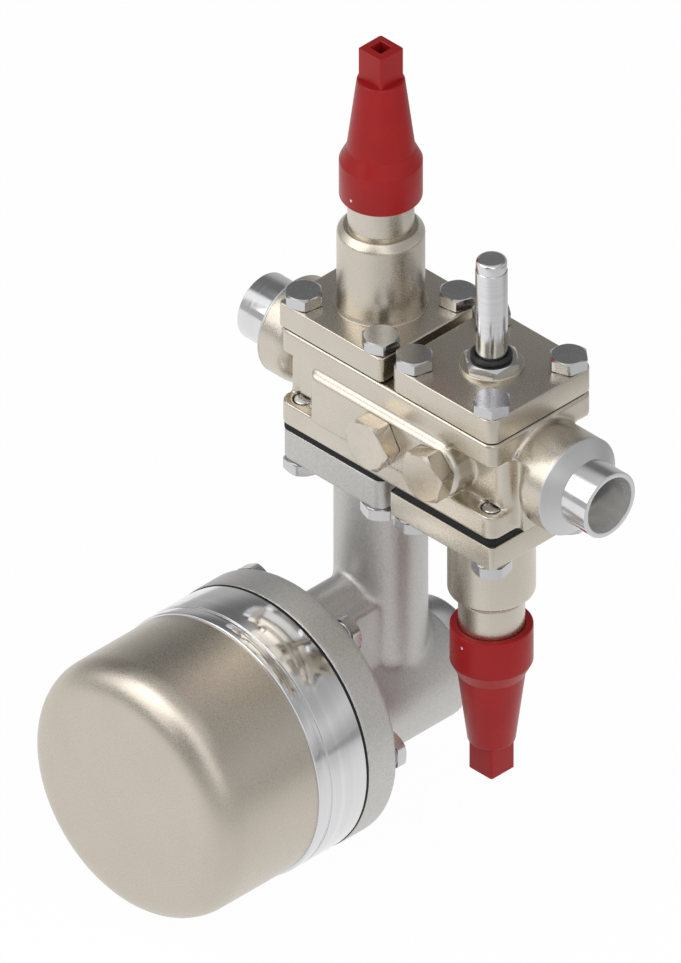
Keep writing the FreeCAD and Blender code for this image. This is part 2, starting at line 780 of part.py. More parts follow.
def make_bonnet(label, module, rise):
    """A stop valve's bonnet: plate, tapered tower, threaded neck and the bores for the spindle."""
    body = new_part(label)
    sketch = sketch_on(body, "XY_Plane", "plate_plan")
    draw_outline(sketch, rounded_square(S.flange_half, S.bonnet_corner))
    plate = pad(body, sketch, "plate", S.cover_thickness)
    top = S.cover_thickness.value
    bevelled(body, plate, "plate_edge", S.plate_bevel,
             lambda edge: all(abs(vertex.Z - top) < 1e-4 for vertex in edge.Vertexes))
    tower, boss, neck = S.tower / 2, S.bonnet_boss / 2, S.neck / 2
    step = S.cover_thickness + S.bonnet_boss_height
    cone_top = S.tower_height + S.tower_cone_height
    groove_top = cone_top + S.neck_groove_width
    turned(body, "tower", [
        (0, S.cover_thickness - 1), (boss, S.cover_thickness - 1), (boss, step - S.boss_round),
        (boss - S.boss_round, step, S.boss_round, 1), (tower + S.bonnet_fillet, step),
        (tower, step + S.bonnet_fillet, S.bonnet_fillet, -1), (tower, S.tower_height),
        (S.tower_cone_top / 2, cone_top), (neck - S.neck_groove, cone_top),
        (neck - S.neck_groove, groove_top), (neck, groove_top + S.neck_groove),
        (neck, S.neck_height - S.neck_bevel), (neck - S.neck_bevel, S.neck_height), (0, S.neck_height)])
    if rise.value > 0:
        rod(body, "raised_face", S.raised_face, (0, 0, -rise), "+Z", rise + 1)
    rod(body, "spigot", S.register, (0, 0, -S.register_depth), "+Z", S.register_depth + 1)
    spindle_hole = S.spindle / 2 + S.running_gap
    turned(body, "bonnet_cavity", [
        (0, -S.register_depth), (S.bonnet_cavity / 2, -S.register_depth),
        (S.bonnet_cavity / 2, S.bonnet_cavity_height), (spindle_hole, S.guide_start),
        (spindle_hole, gland_start), (S.gland_bore / 2, gland_start),
        (S.gland_bore / 2, S.neck_height), (0, S.neck_height)], cut=True)
    drill_bolts(body, "bolt_holes", S.cover_thickness, S.bolt_size + 2 * S.bolt_clearance,
                S.cover_thickness, bolt_corners())
    stand(body, module)


def make_spindle_set(prefix, module):
    """The packing, gland nut, spindle, valve cone, seal ring and clip of a stop valve."""
    spindle_hole = S.spindle + 2 * S.running_gap
    gland = S.gland_bore - 2 * S.thread_gap
    packing_top = gland_start + S.packing_height
    stand(ring(prefix + "packing", spindle_hole, gland, gland_start, packing_top), module)

    body = ring(prefix + "gland_nut", spindle_hole + 2 * S.running_gap, gland, packing_top,
                packing_top + S.gland_nut_body)
    sketch = sketch_on(body, "XY_Plane", "key_plan", packing_top + S.gland_nut_body)
    draw_outline(sketch, hexagon(0, 0, S.gland_nut_key))
    draw_circle(sketch, 0, 0, spindle_hole + 2 * S.running_gap)
    pad(body, sketch, "key", S.gland_nut_height - S.gland_nut_body)
    stand(body, module)

    shoulder = -S.cone_hub_top
    tail, shaft = S.spindle_tail / 2, S.spindle / 2
    clip_low = -(S.clip_seat + S.clip_thickness + 2 * S.running_gap)
    clip_high = -S.clip_seat
    clip_floor = S.clip_bore / 2 - S.running_gap
    square_start = spindle_shoulder + S.spindle_neck_length
    square_top = square_start + S.spindle_square_length
    body = new_part(prefix + "spindle")
    turned(body, "shaft", [
        (0, -S.tail_end), (tail, -S.tail_end), (tail, clip_low), (clip_floor, clip_low),
        (clip_floor, clip_high), (tail, clip_high), (tail, shoulder), (shaft, shoulder),
        (shaft, spindle_shoulder), (S.spindle_neck / 2, spindle_shoulder + 1),
        (S.spindle_neck / 2, square_start), (0, square_start)])
    sketch = sketch_on(body, "XY_Plane", "square_plan", square_start - 1)
    half = S.spindle_square / 2
    draw_outline(sketch, rectangle(-half, half, -half, half))
    square = pad(body, sketch, "square", S.spindle_square_length + 1)
    top = square_top.value
    bevelled(body, square, "square_edge", S.square_bevel,
             lambda edge: all(abs(vertex.Z - top) < 1e-4 for vertex in edge.Vertexes))
    stand(body, module)

    bottom = -(S.stop_seat_depth - S.cone_seal_thickness - S.running_gap)
    tail_hole = tail + S.running_gap
    recess = S.clip_recess / 2
    body = new_part(prefix + "cone")
    turned(body, "cone", [
        (0, bottom), (S.cone_disc / 2, bottom), (S.cone_disc / 2, bottom + S.cone_disc_height),
        (S.cone_hub / 2, bottom + S.cone_disc_height + S.cone_slope),
        (S.cone_hub / 2, shoulder - S.running_gap), (tail_hole, shoulder - S.running_gap),
        (tail_hole, clip_high + S.running_gap), (recess, clip_high + S.running_gap),
        (recess, clip_low - S.running_gap), (tail_hole, clip_low - S.running_gap),
        (tail_hole, -(S.tail_end + S.running_gap)), (0, -(S.tail_end + S.running_gap))])
    stand(body, module)
    stand(ring(prefix + "cone_seal", S.cone_seal_bore, S.cone_disc - 0.4,
               bottom - S.cone_seal_thickness, bottom), module)
    clip_top = clip_high - S.running_gap
    stand(ring(prefix + "cone_clip", S.clip_bore - 2 * S.running_gap, S.clip_outer,
               clip_top - S.clip_thickness, clip_top), module)


def make_seal_cap(prefix, module):
    """The tall seal cap with its square key and socket, and the gasket that it closes on."""
    body = new_part(prefix + "cap")
    collar_top = cap_start + S.cap_collar_height
    shoulder_top = collar_top + S.cap_shoulder_height
    collar, shoulder, neck = S.cap_collar / 2, S.cap_shoulder / 2, S.cap_taper_top / 2
    crown = S.cap_crown
    turned(body, "outside", [
        (0, cap_start), (collar - S.cap_rim_bevel, cap_start),
        (collar, cap_start + S.cap_rim_bevel), (collar, collar_top),
        (shoulder, shoulder_top, S.cap_shoulder_round, 1), (neck, cap_taper_end),
        (neck - crown, cap_taper_end + crown, crown, 1), (0, cap_taper_end + crown)])
    sketch = sketch_on(body, "XY_Plane", "key_plan", cap_taper_end)
    half = S.cap_square / 2
    draw_outline(sketch, rectangle(-half, half, -half, half))
    pad(body, sketch, "key", S.cap_key_length)
    bevel_in, bevel_out = half + S.cap_key_bevel, half * math.sqrt(2) + 1
    turned(body, "key_bevel", [
        (bevel_in, cap_top), (bevel_out, cap_top - (bevel_out - bevel_in) / 2),
        (bevel_out, cap_top)], cut=True)
    gasket_top = S.neck_height + S.cap_gasket_thickness
    thread = S.neck / 2 + S.cap_thread_gap
    bore_top = cap_taper_end - S.cap_roof
    turned(body, "inside", [
        (0, cap_start), (thread, cap_start), (thread, gasket_top), (S.cap_inner / 2, gasket_top),
        (S.cap_inner / 2, collar_top + 1), (S.cap_inner_top / 2, bore_top - 2),
        (S.cap_inner_top / 2 - 2, bore_top), (0, bore_top)], cut=True)
    sketch = sketch_on(body, "XY_Plane", "socket_plan", cap_top)
    half = S.cap_socket / 2
    draw_outline(sketch, rectangle(-half, half, -half, half))
    pocket(body, sketch, "socket", S.cap_socket_depth)
    drill(body, "wire_hole", S.cap_wire_hole, (0, -collar, cap_start + S.cap_wire_height), "+Y",
          collar - thread + 1)
    stand(body, module)
    stand(ring(prefix + "cap_gasket", S.cap_gasket_bore, S.neck - 2 * S.neck_bevel, S.neck_height,
               gasket_top), module)


def make_stop_valve(prefix, module, rise):
    """A complete stop valve."""
    if rise.value > 0:
        low = -(rise + S.gasket_thickness)
        stand(ring(prefix + "gasket", S.gasket_bore, S.raised_face, low, -rise), module)
    else:
        square_gasket(prefix + "gasket", module, S.bonnet_corner)
    make_bonnet(prefix + "bonnet", module, rise)
    hex_bolts(prefix + "bolts", module, S.cover_thickness, rise, 15)
    make_spindle_set(prefix, module)
    make_seal_cap(prefix, module)


def make_spring(label, module, diameter, wire, low, high, turns):
    """A compression spring of eight-sided wire with its ends cut level."""
    radius = diameter.value / 2
    wire_radius = wire.value / 2
    start = low.value + wire_radius
    rise = high.value - low.value - 2 * wire_radius
    path = Part.makeHelix(rise / turns.value, rise, radius)
    path.translate(Vector(0, 0, start))
    corners = [Vector(radius + wire_radius * math.cos(angle), 0, start + wire_radius * math.sin(angle))
               for angle in [math.radians(45 * step) for step in range(8)]]
    section = Part.makePolygon(corners + corners[:1])
    spring = doc.addObject("Part::Feature", label)
    spring.Label = label
    spring.Shape = Part.Wire(path.Edges).makePipeShell([section], True, True)
    parts.append(spring)
    stand(spring, module)


def make_solenoid_valve(module):
    """The solenoid valve without its coil: cover, armature tube, pilot parts and servo piston."""
    square_gasket("solenoid_gasket", module, S.cover_corner)
    boss_top = S.cover_thickness + S.cover_boss_height
    nut_thread = S.tube_nut_thread
    flange_top = S.tube_foot + S.tube_flange_height
    body = new_part("solenoid_cover")
    sketch = sketch_on(body, "XY_Plane", "plate_plan")
    draw_outline(sketch, rounded_square(S.flange_half, S.cover_corner))
    plate = pad(body, sketch, "plate", S.cover_thickness)
    top = S.cover_thickness.value
    bevelled(body, plate, "plate_edge", S.plate_bevel,
             lambda edge: all(abs(vertex.Z - top) < 1e-4 for vertex in edge.Vertexes))
    rod(body, "boss", S.cover_boss, (0, 0, S.cover_thickness), "+Z", S.cover_boss_height)
    rod(body, "spigot", S.liner_bore - 2 * S.thread_gap, (0, 0, -S.cover_spigot_depth), "+Z",
        S.cover_spigot_depth + 1)
    pilot_hole = S.pilot_seat / 2 + S.joint_gap
    turned(body, "stepped_bore", [
        (0, -S.cover_spigot_depth), (pilot_hole, -S.cover_spigot_depth), (pilot_hole, S.tube_foot),
        (S.tube_flange / 2 + S.thread_gap, S.tube_foot), (S.tube_flange / 2 + S.thread_gap, flange_top),
        (nut_thread / 2 + S.thread_gap, flange_top), (nut_thread / 2 + S.thread_gap, boss_top),
        (0, boss_top)], cut=True)
    drill_bolts(body, "bolt_holes", S.cover_thickness, S.bolt_size + 2 * S.bolt_clearance,
                S.cover_thickness, bolt_corners())
    stand(body, module)
    hex_bolts("solenoid_bolts", module, S.cover_thickness, size(0), 15)

    seat_top = S.tube_foot - S.pilot_shoulder
    body = new_part("pilot_seat")
    turned(body, "seat", [
        (S.pilot_bore / 2, -S.pilot_seat_depth), (S.pilot_seat / 2, -S.pilot_seat_depth),
        (S.pilot_seat / 2, seat_top), (S.pilot_seat_nozzle / 2, seat_top),
        (S.pilot_bore / 2 + S.pilot_lip, seat_top + 1), (S.pilot_bore / 2, seat_top + 1)])
    stand(body, module)

    tube, neck, tip = S.tube / 2, S.tube_neck / 2, S.tube_tip / 2
    nut_top = boss_top + S.tube_nut_height
    wall_start = nut_top + S.ring_section + S.tube_step_rise
    body = new_part("armature_tube")
    groove_low = S.tube_shoulder - S.tube_groove
    turned(body, "tube", [
        (S.tube_bore / 2, S.tube_foot), (S.tube_flange / 2, S.tube_foot),
        (S.tube_flange / 2, flange_top), (neck, flange_top), (neck, wall_start), (tube, wall_start),
        (tube, groove_low), (tube - S.tube_groove_depth, groove_low),
        (tube - S.tube_groove_depth, S.tube_shoulder), (tip, S.tube_shoulder),
        (tip, S.tube_top - S.tube_round), (tip - S.tube_round, S.tube_top, S.tube_round, 1), (0, S.tube_top),
        (0, S.tube_core), (S.tube_bore / 2, S.tube_core)])
    stand(body, module)

    body = ring("tube_nut", S.tube_neck + 2 * S.thread_gap, nut_thread, flange_top, boss_top)
    sketch = sketch_on(body, "XY_Plane", "key_plan", boss_top)
    draw_outline(sketch, hexagon(0, 0, S.tube_nut_key, TUBE_NUT_TURN))
    draw_circle(sketch, 0, 0, S.tube_neck + 2 * S.thread_gap)
    pad(body, sketch, "key", S.tube_nut_height)
    bevel_head(body, "key_bevel", S.tube_nut_key, nut_top)
    stand(body, module)

    body = new_part("tube_ring")
    sketch = sketch_on(body, "XZ_Plane", "section")
    draw_circle(sketch, neck + S.ring_section / 2, nut_top + S.ring_section / 2, S.ring_section)
    torus = body.newObject("PartDesign::Revolution", "torus")
    torus.Profile = sketch
    torus.ReferenceAxis = (sketch, ["V_Axis"])
    torus.Angle = 360
    stand(body, module)

    plunger_low = seat_top + 1 + S.plunger_gap
    socket_low = S.plunger_top - S.plunger_socket_depth
    body = new_part("plunger")
    turned(body, "plunger", [
        (0, plunger_low), (S.plunger / 2 - 1, plunger_low), (S.plunger / 2, plunger_low + 1),
        (S.plunger / 2, S.plunger_top), (S.plunger_socket / 2, S.plunger_top),
        (S.plunger_socket / 2, socket_low), (0, socket_low)])
    stand(body, module)
    make_spring("plunger_spring", module, S.plunger_spring, S.plunger_spring_wire,
                socket_low, S.tube_core, S.plunger_spring_turns)

    collar = S.gasket_bore / 2 - S.thread_gap
    body = new_part("cylinder_liner")
    turned(body, "liner", [
        (S.liner_bore / 2, -S.liner_depth), (S.liner_outer / 2, -S.liner_depth),
        (S.liner_outer / 2, -S.gasket_thickness), (collar, -S.gasket_thickness), (collar, 0),
        (S.liner_bore / 2, 0)])
    stand(body, module)
    piston, web = S.piston / 2, S.piston_bottom - S.piston_web
    groove_low = -(S.piston_groove_top + S.piston_groove_height)
    body = new_part("servo_piston")
    floor = piston - S.piston_groove_depth
    turned(body, "piston", [
        (0, -S.piston_bottom), (S.piston_seal / 2 + 1, -S.piston_bottom), (piston, -web),
        (piston, groove_low), (floor, groove_low), (floor, -S.piston_groove_top),
        (piston, -S.piston_groove_top), (piston, -S.piston_top), (S.piston_cup / 2, -S.piston_top),
        (S.piston_cup / 2, -web), (0, -web)])
    stand(body, module)
    stand(ring("piston_ring", floor * 2 + 2 * S.joint_gap, S.liner_bore - 2 * S.joint_gap,
               groove_low + S.joint_gap, -S.piston_groove_top - S.joint_gap), module)
    seat_high = piston_floor - S.main_seat_sink + S.main_seat_height - upper_seam
    body = new_part("piston_seal")
    rod(body, "disc", S.piston_seal, (0, 0, seat_high + S.running_gap), "+Z",
        -S.piston_bottom - seat_high - S.running_gap)
    stand(body, module)
    stand(ring("main_seat", S.main_seat_bore, S.main_seat_outer,
               piston_floor - S.main_seat_sink - upper_seam, seat_high), module)
    make_spring("piston_spring", module, S.piston_spring, S.piston_spring_wire, -web,
                -S.cover_spigot_depth, S.piston_spring_turns)


def lay(body, x, forward, z):
    """Place a body whose own Z points to the front, and whose own Y points up."""
    bind_place(body, x, -size(forward), z, Vector(1, 0, 0), 90)


def make_port_plug(side, x, turn):
    """A hexagon plug of a side port and its seal ring."""
    body = new_part(side + "_port_plug")
    sketch = sketch_on(body, "XY_Plane", "head_plan", S.plug_seal_thickness)
    draw_outline(sketch, hexagon(0, 0, S.plug_key, turn))
    pad(body, sketch, "head", S.plug_head)
    bevel_head(body, "head_bevel", S.plug_key, S.plug_seal_thickness + S.plug_head)
    thread, tip = S.plug_thread / 2, -S.plug_thread_length
    middle = S.plug_seal_thickness + S.plug_head / 2
    turned(body, "shank", [(0, tip), (thread - S.plug_chamfer, tip), (thread, tip + S.plug_chamfer),
                           (thread, middle), (0, middle)])
    lay(body, x, port_face, 0)
    seal = ring(side + "_port_seal", S.plug_thread + 2 * S.thread_gap, S.plug_seal_outer, 0,
                S.plug_seal_thickness)
    lay(seal, x, port_face, 0)


def make_float_casting(module):
    """The float valve's casting: neck flange, column, elbow, barrel and the round front flange."""
    x, seam, _ = module
    axis = S.float_axis_height
    body = new_part("float_casting")
    sketch = sketch_on(body, "XY_Plane", "neck_flange_plan", seam - S.float_flange_thickness)
    draw_outline(sketch, rounded_square(S.float_flange_half, S.flange_corner))
    neck_flange = pad(body, sketch, "neck_flange", S.float_flange_thickness)
    level = (seam - S.float_flange_thickness).value
    bevelled(body, neck_flange, "neck_flange_edge", S.plate_bevel,
             lambda edge: all(abs(vertex.Z - level) < 1e-4 for vertex in edge.Vertexes))
    under, fillet = seam - S.float_flange_thickness, S.column_fillet
    turned(body, "column", [
        (0, S.barrel_height), (S.column / 2, S.barrel_height), (S.column / 2, under - fillet),
        (S.column / 2 + fillet, under, fillet, -1), (S.column / 2 + fillet, under + 1), (0, under + 1)])
    rod(body, "raised_face", S.raised_face, (0, 0, seam - 1), "+Z", S.float_raise + 1)
    flange_edge = S.flange_round
    outer = body_flange / 2
    round_flange = turned(body, "round_flange", [
        (-body_flange_front, axis), (-S.body_flange_rear, axis),
        (-S.body_flange_rear, axis + outer - flange_edge),
        (-S.body_flange_rear - flange_edge, axis + outer, flange_edge, 1),
        (-body_flange_front, axis + outer)], role="YZ_Plane", centre_line=[(0, axis), (1, axis)])
    rod(body, "barrel", S.barrel, (0, S.barrel_rear, S.barrel_height), "-Y",
        S.barrel_rear + S.body_flange_rear + 1)
    rod(body, "elbow", S.elbow_outer, (0, 0, S.elbow_height), "-Y", S.body_flange_rear + 1)
    depth = -S.float_raise - seam
    drill(body, "feed_duct", S.gallery_bore, (0, -S.gallery_offset, -depth), "-Z", -depth - S.elbow_height)
    drill(body, "return_duct", S.gallery_bore, (0, S.gallery_offset, -depth), "-Z",
          -depth - S.barrel_height)
    drill(body, "elbow_bore", S.elbow_bore, (0, -S.gallery_offset, S.elbow_height), "-Y",
          body_flange_front - S.gallery_offset)
    drill(body, "barrel_bore", S.barrel_bore, (0, S.barrel_rear, S.barrel_height), "-Y",
          S.barrel_rear + body_flange_front)
    drill_bolts(body, "neck_bolt_holes", seam, S.bolt_size + 2 * S.bolt_clearance,
                S.float_flange_thickness, bolt_corners())
    hole = drill(body, "round_flange_hole", S.bolt_size + 2 * S.bolt_clearance,
                 (S.float_bolt_circle / 2, -S.body_flange_rear, axis), "-Y", S.body_flange_thickness)
    ring_of_holes = body.newObject("PartDesign::PolarPattern", "round_flange_holes")
    ring_of_holes.Originals = [hole]
    ring_of_holes.Axis = (round_flange.Profile[0], ["Axis0"])
    ring_of_holes.Angle = 360
    ring_of_holes.Occurrences = FLOAT_BOLTS
    body.Tip = ring_of_holes
    bind_place(body, x, 0, 0)


def bolt_ring(body, features):
    """Repeat features round a body's own Z, once for each flange bolt."""
    pattern = body.newObject("PartDesign::PolarPattern", "bolt_ring")
    pattern.Originals = features
    pattern.Axis = (origin_feature(body, "Z_Axis"), [""])
    pattern.Angle = 360
    pattern.Occurrences = FLOAT_BOLTS
    body.Tip = pattern


def make_float_can(x):
    """The pressure side: flange gasket, flange ring with its welded can, and the six bolts."""
    axis = S.float_axis_height
    hole = S.bolt_size + 2 * S.bolt_clearance
    body = ring("can_gasket", ring_bore, body_flange, body_flange_front, ring_start)
    bolt_hole = drill(body, "bolt_hole", hole, (S.float_bolt_circle / 2, 0, body_flange_front), "+Z",
                      S.float_gasket_thickness)
    bolt_ring(body, [bolt_hole])
    lay(body, x, 0, axis)

    outer, groove = ring_outer / 2, S.bead_groove
    relief = can_outer / 2 - S.can_wall - S.can_lip
    tapped_end = ring_start + S.ring_tapped_length
    groove_low = tapped_end + S.bead_width
    body = new_part("flange_ring")
    turned(body, "ring", [
        (ring_bore / 2, ring_start), (outer, ring_start), (outer, groove_low),
        (outer - groove, groove_low), (outer - groove, groove_low + S.bead_width),
        (outer, groove_low + S.bead_width), (outer, can_start - S.ring_bevel),
        (outer - S.ring_bevel, can_start), (relief, can_start), (relief, tapped_end),
        (ring_bore / 2, tapped_end)])
    tapped = drill(body, "tapped_hole", S.bolt_size + 2 * S.thread_gap,
                   (S.float_bolt_circle / 2, 0, ring_start), "+Z", S.ring_tapped_length - S.tapped_floor)
    bolt_ring(body, [tapped])
    lay(body, x, 0, axis)

    radius, knuckle, wall = can_outer / 2, S.can_knuckle, S.can_wall
    straight = can_front - S.can_crown - knuckle
    flat = radius - knuckle
    crown = (flat * flat + S.can_crown * S.can_crown) / (2 * S.can_crown)
    body = new_part("float_can")
    turned(body, "shell", [
        (radius - wall, can_start), (radius, can_start), (radius, straight),
        (flat, straight + knuckle, knuckle, 1), (0, can_front, crown, 1), (0, can_front - wall),
        (flat, straight + knuckle - wall, crown, -1), (radius - wall, straight, knuckle - wall, -1)])
    lay(body, x, 0, axis)

    head_seat = S.body_flange_rear
    body = new_part("can_bolts")
    sketch = sketch_on(body, "XY_Plane", "head_plan", -head_seat)
    draw_outline(sketch, hexagon(S.float_bolt_circle / 2, 0, S.bolt_key, 30))
    head = pad(body, sketch, "head", S.bolt_head)
    bevel = bevel_head(body, "head_bevel", S.bolt_key, S.bolt_head - head_seat, S.float_bolt_circle / 2)
    shank = rod(body, "shank", S.bolt_size, (S.float_bolt_circle / 2, 0, -head_seat + 1), "-Z",
                S.float_bolt_length + 1)
    bolt_ring(body, [head, bevel, shank])
    bind_place(body, x, 0, axis, Vector(1, 0, 0), 270)


def make_float_mechanism(x):
    """The float ball on its arm, the bracket that carries it, and the needle in its orifice."""
    axis = S.float_axis_height
    drop = S.pivot_height - S.float_ball_height
    reach = ball_reach - pivot_reach
    arm_length = math.hypot(drop.value, reach.value)
    ball, inside = S.float_ball / 2, S.float_ball / 2 - S.float_ball_wall
    body = new_part("float_ball")
    turned(body, "shell", [
        (0, -ball), (ball, 0, ball, 1), (0, ball, ball, 1), (0, inside),
        (inside, 0, inside, -1), (0, -inside, inside, -1)])
    rod(body, "boss", S.ball_boss, (0, 0, ball - S.float_ball_wall), "+Z",
        S.ball_boss_rise + S.float_ball_wall)
    drill(body, "rod_hole", S.arm_rod + 2 * S.joint_gap, (0, 0, ball + S.ball_boss_rise), "-Z",
          S.ball_boss_rise)
    bind_place(body, x, -ball_reach, S.float_ball_height, Vector(-1, 0, 0),
               math.degrees(math.atan2(reach.value, drop.value)))
    body.setExpression("Placement.Rotation.Angle", "atan(%s / %s)" % (reach.text, drop.text))

    body = new_part("float_arm")
    half_hub = S.arm_hub_length / 2
    rod(body, "hub", S.arm_hub, (-half_hub, 0, 0), "+X", S.arm_hub_length)
    arm_rod = rod(body, "rod", S.arm_rod, (0, 0, 0), "+Z", arm_length - ball.value)
    arm_rod.setExpression("Height", "sqrt(%s ^ 2 + %s ^ 2) - %s" % (reach.text, drop.text, ball.text))
    arm_rod.Placement = FreeCAD.Placement(Vector(), FreeCAD.Rotation(
        Vector(1, 0, 0), math.degrees(math.atan2(drop.value, reach.value))))
    arm_rod.setExpression("Placement.Rotation.Angle", "atan(%s / %s)" % (drop.text, reach.text))
    sketch = sketch_on(body, "XY_Plane", "fork_plan", -S.fork_setback - S.fork_thickness)
    fork_end = S.barrel_height - S.pivot_height - S.fork_reach
    inner, outer = S.fork_gap / 2, S.fork_gap / 2 + S.fork_leg
    draw_outline(sketch, [(-outer, 0), (-outer, fork_end), (-inner, fork_end), (-inner, -S.arm_hub / 2),
                          (inner, -S.arm_hub / 2), (inner, fork_end), (outer, fork_end), (outer, 0)])
    pad(body, sketch, "fork", S.fork_thickness)
    drill(body, "pivot_hole", S.pivot_pin + 2 * S.running_gap, (-half_hub, 0, 0), "+X", S.arm_hub_length)
    lay(body, x, pivot_reach, S.pivot_height)

    body = new_part("pivot_pin")
    half_pin = S.pivot_pin_length / 2
    turned(body, "pin", [
        (0, -half_pin), (S.pivot_pin / 2, -half_pin), (S.pivot_pin / 2, half_pin),
        (S.pin_head / 2, half_pin), (S.pin_head / 2, half_pin + S.pin_head_height),
        (0, half_pin + S.pin_head_height)])
    bind_place(body, x, -pivot_reach, S.pivot_height, Vector(0, 1, 0), 90)


def make_needle_parts(x):
    """The orifice in the barrel's mouth, the bracket screwed to it, and the needle."""
    height = S.barrel_height
    seat_face = body_flange_front
    seat_low = seat_face - S.orifice_disc_length
    bore, mouth = S.orifice_bore / 2, S.orifice_mouth / 2
    body = new_part("orifice_seat")
    turned(body, "disc", [
        (bore, seat_low), (S.barrel_bore / 2 - S.joint_gap, seat_low),
        (S.barrel_bore / 2 - S.joint_gap, seat_face), (mouth, seat_face),
        (bore, seat_face - S.orifice_mouth_depth)])
    sketch = sketch_on(body, "XY_Plane", "screw_places", seat_face)
    for side in (-1, 1):
        draw_circle(sketch, 0, side * S.bracket_screw_offset, S.bracket_screw + 2 * S.thread_gap)
    pocket(body, sketch, "screw_holes", S.orifice_disc_length - S.orifice_web)
    lay(body, x, 0, height)

    base = seat_face + S.bracket_base
    body = new_part("float_bracket")
    turned(body, "base", [
        (S.bracket_hole / 2, seat_face), (S.bracket_base_radius, seat_face),
        (S.bracket_base_radius, base), (S.bracket_hole / 2, base)])
    inner = S.bracket_gap / 2
    outer = inner + S.bracket_cheek
    low, high = S.bracket_low - height, S.bracket_top - height
    sketch = sketch_on(body, "XY_Plane", "cheek_plan", seat_face)
    draw_outline(sketch, rectangle(inner, outer, low, high))
    draw_outline(sketch, rectangle(-outer, -inner, low, high))
    pad(body, sketch, "cheeks", pivot_reach + S.bracket_nose - seat_face)
    pin_hole = S.pivot_pin + 2 * S.joint_gap
    drill(body, "pin_hole", pin_hole, (-outer, S.pivot_height - height, pivot_reach), "+X", 2 * outer)
    sketch = sketch_on(body, "XY_Plane", "screw_places", base)
    for side in (-1, 1):
        draw_circle(sketch, 0, side * S.bracket_screw_offset, S.bracket_screw + 2 * S.running_gap)
    pocket(body, sketch, "screw_holes", S.bracket_base)
    lay(body, x, 0, height)

    body = new_part("bracket_screws")
    for side in (-1, 1):
        spot = side * S.bracket_screw_offset
        word = "lower" if side < 0 else "upper"
        rod(body, word + "_shank", S.bracket_screw, (0, spot, base), "-Z", S.bracket_screw_length)
        rod(body, word + "_head", S.bracket_screw_head, (0, spot, base), "+Z", S.bracket_screw_head_height)
    lay(body, x, 0, height)

    tip = seat_face - S.orifice_mouth_depth + S.needle_gap
    fork_front = pivot_reach - S.fork_setback
    collar_end = fork_front - S.fork_thickness - S.needle_collar_play
    collar_start = collar_end - S.needle_collar_length
    head_start = fork_front + S.needle_head_play
    head_end = head_start + S.needle_head_length
    body = new_part("needle")
    turned(body, "needle", [
        (0, tip - S.needle_nose), (S.needle_point / 2, tip - S.needle_nose),
        (S.orifice_bore / 2 - S.needle_gap, tip - S.needle_gap), (mouth - S.needle_gap, seat_face),
        (S.needle_stem / 2, seat_face + S.needle_taper), (S.needle_stem / 2, collar_start),
        (S.needle_collar / 2, collar_start), (S.needle_collar / 2, collar_end),
        (S.needle_stem / 2, collar_end), (S.needle_stem / 2, head_start),
        (S.needle_head / 2, head_start), (S.needle_head / 2, head_end), (0, head_end)])
    lay(body, x, 0, height)


def make_barrel_plug(x):
    """The plug at the rear of the barrel, with its seal."""
    seal_end = S.barrel_rear + S.plug_seal_thickness
    head = seal_end + S.end_plug_length
    body = new_part("barrel_plug")
    edge = S.end_plug_chamfer
    spigot = S.barrel_bore / 2 - S.thread_gap
    spigot_low = S.barrel_rear - S.end_plug_spigot
    turned(body, "plug", [
        (0, spigot_low), (spigot, spigot_low), (spigot, seal_end), (S.end_plug / 2, seal_end),
        (S.end_plug / 2, head - edge), (S.end_plug / 2 - edge, head), (0, head)])
    sketch = sketch_on(body, "XY_Plane", "socket_plan", head)
    draw_outline(sketch, hexagon(0, 0, S.end_plug_socket))
    pocket(body, sketch, "socket", S.end_plug_socket_depth)
    bind_place(body, x, 0, S.barrel_height, Vector(1, 0, 0), 270)
    seal = ring("barrel_plug_seal", S.barrel_bore + 2 * S.thread_gap, S.end_plug, S.barrel_rear, seal_end)
    bind_place(seal, x, 0, S.barrel_height, Vector(1, 0, 0), 270)


def make_neck_gasket(x):
    """The round gasket between the housing and the float valve, with its two flow holes."""
    body = new_part("float_gasket")
    sketch = sketch_on(body, "XY_Plane", "plan", -upper_seam)
    draw_circle(sketch, 0, 0, S.raised_face)
    for side in (-1, 1):
        draw_circle(sketch, 0, side * S.gallery_offset, S.gallery_bore)
    pad(body, sketch, "sheet", S.gasket_thickness)
    bind_place(body, x, 0, 0)


def make_float_valve(module):
    """The float drain valve that hangs below the inlet stop valve."""
    x = module[0]
    make_neck_gasket(x)
    hex_bolts("float_bolts", module, S.float_flange_thickness, S.float_raise, 15)
    make_float_casting(module)
    make_float_can(x)
    make_float_mechanism(x)
    make_needle_parts(x)
    make_barrel_plug(x)


def check_and_export():
    """Recompute, stop on any failed feature, and write one STEP file for each sub-part."""
    doc.recompute()
    for item in doc.Objects:
        if "Invalid" in item.State or "Error" in item.State:
            raise RuntimeError("%s failed: %s" % (item.Label, item.State))
    os.makedirs("parts", exist_ok=True)
    for part in parts:
        if part.Shape.isNull() or not part.Shape.isValid():
            raise RuntimeError(part.Label + " has no valid shape")
        part.Shape.exportStep("parts/" + part.Label + ".step")


def main():
    """Build every sub-part of the station."""
    make_housing()
    make_stop_valve("inlet_stop_", (inlet_x, upper_seam, False), size(0))
    make_stop_valve("outlet_stop_", (outlet_x, lower_seam, True), S.lower_raise)
    make_solenoid_valve((outlet_x, upper_seam, False))
    make_float_valve((inlet_x, float_seam, True))
    make_port_plug("left", station_length / 2, 30)
    make_port_plug("right", outlet_x, 30)
    check_and_export()


main()
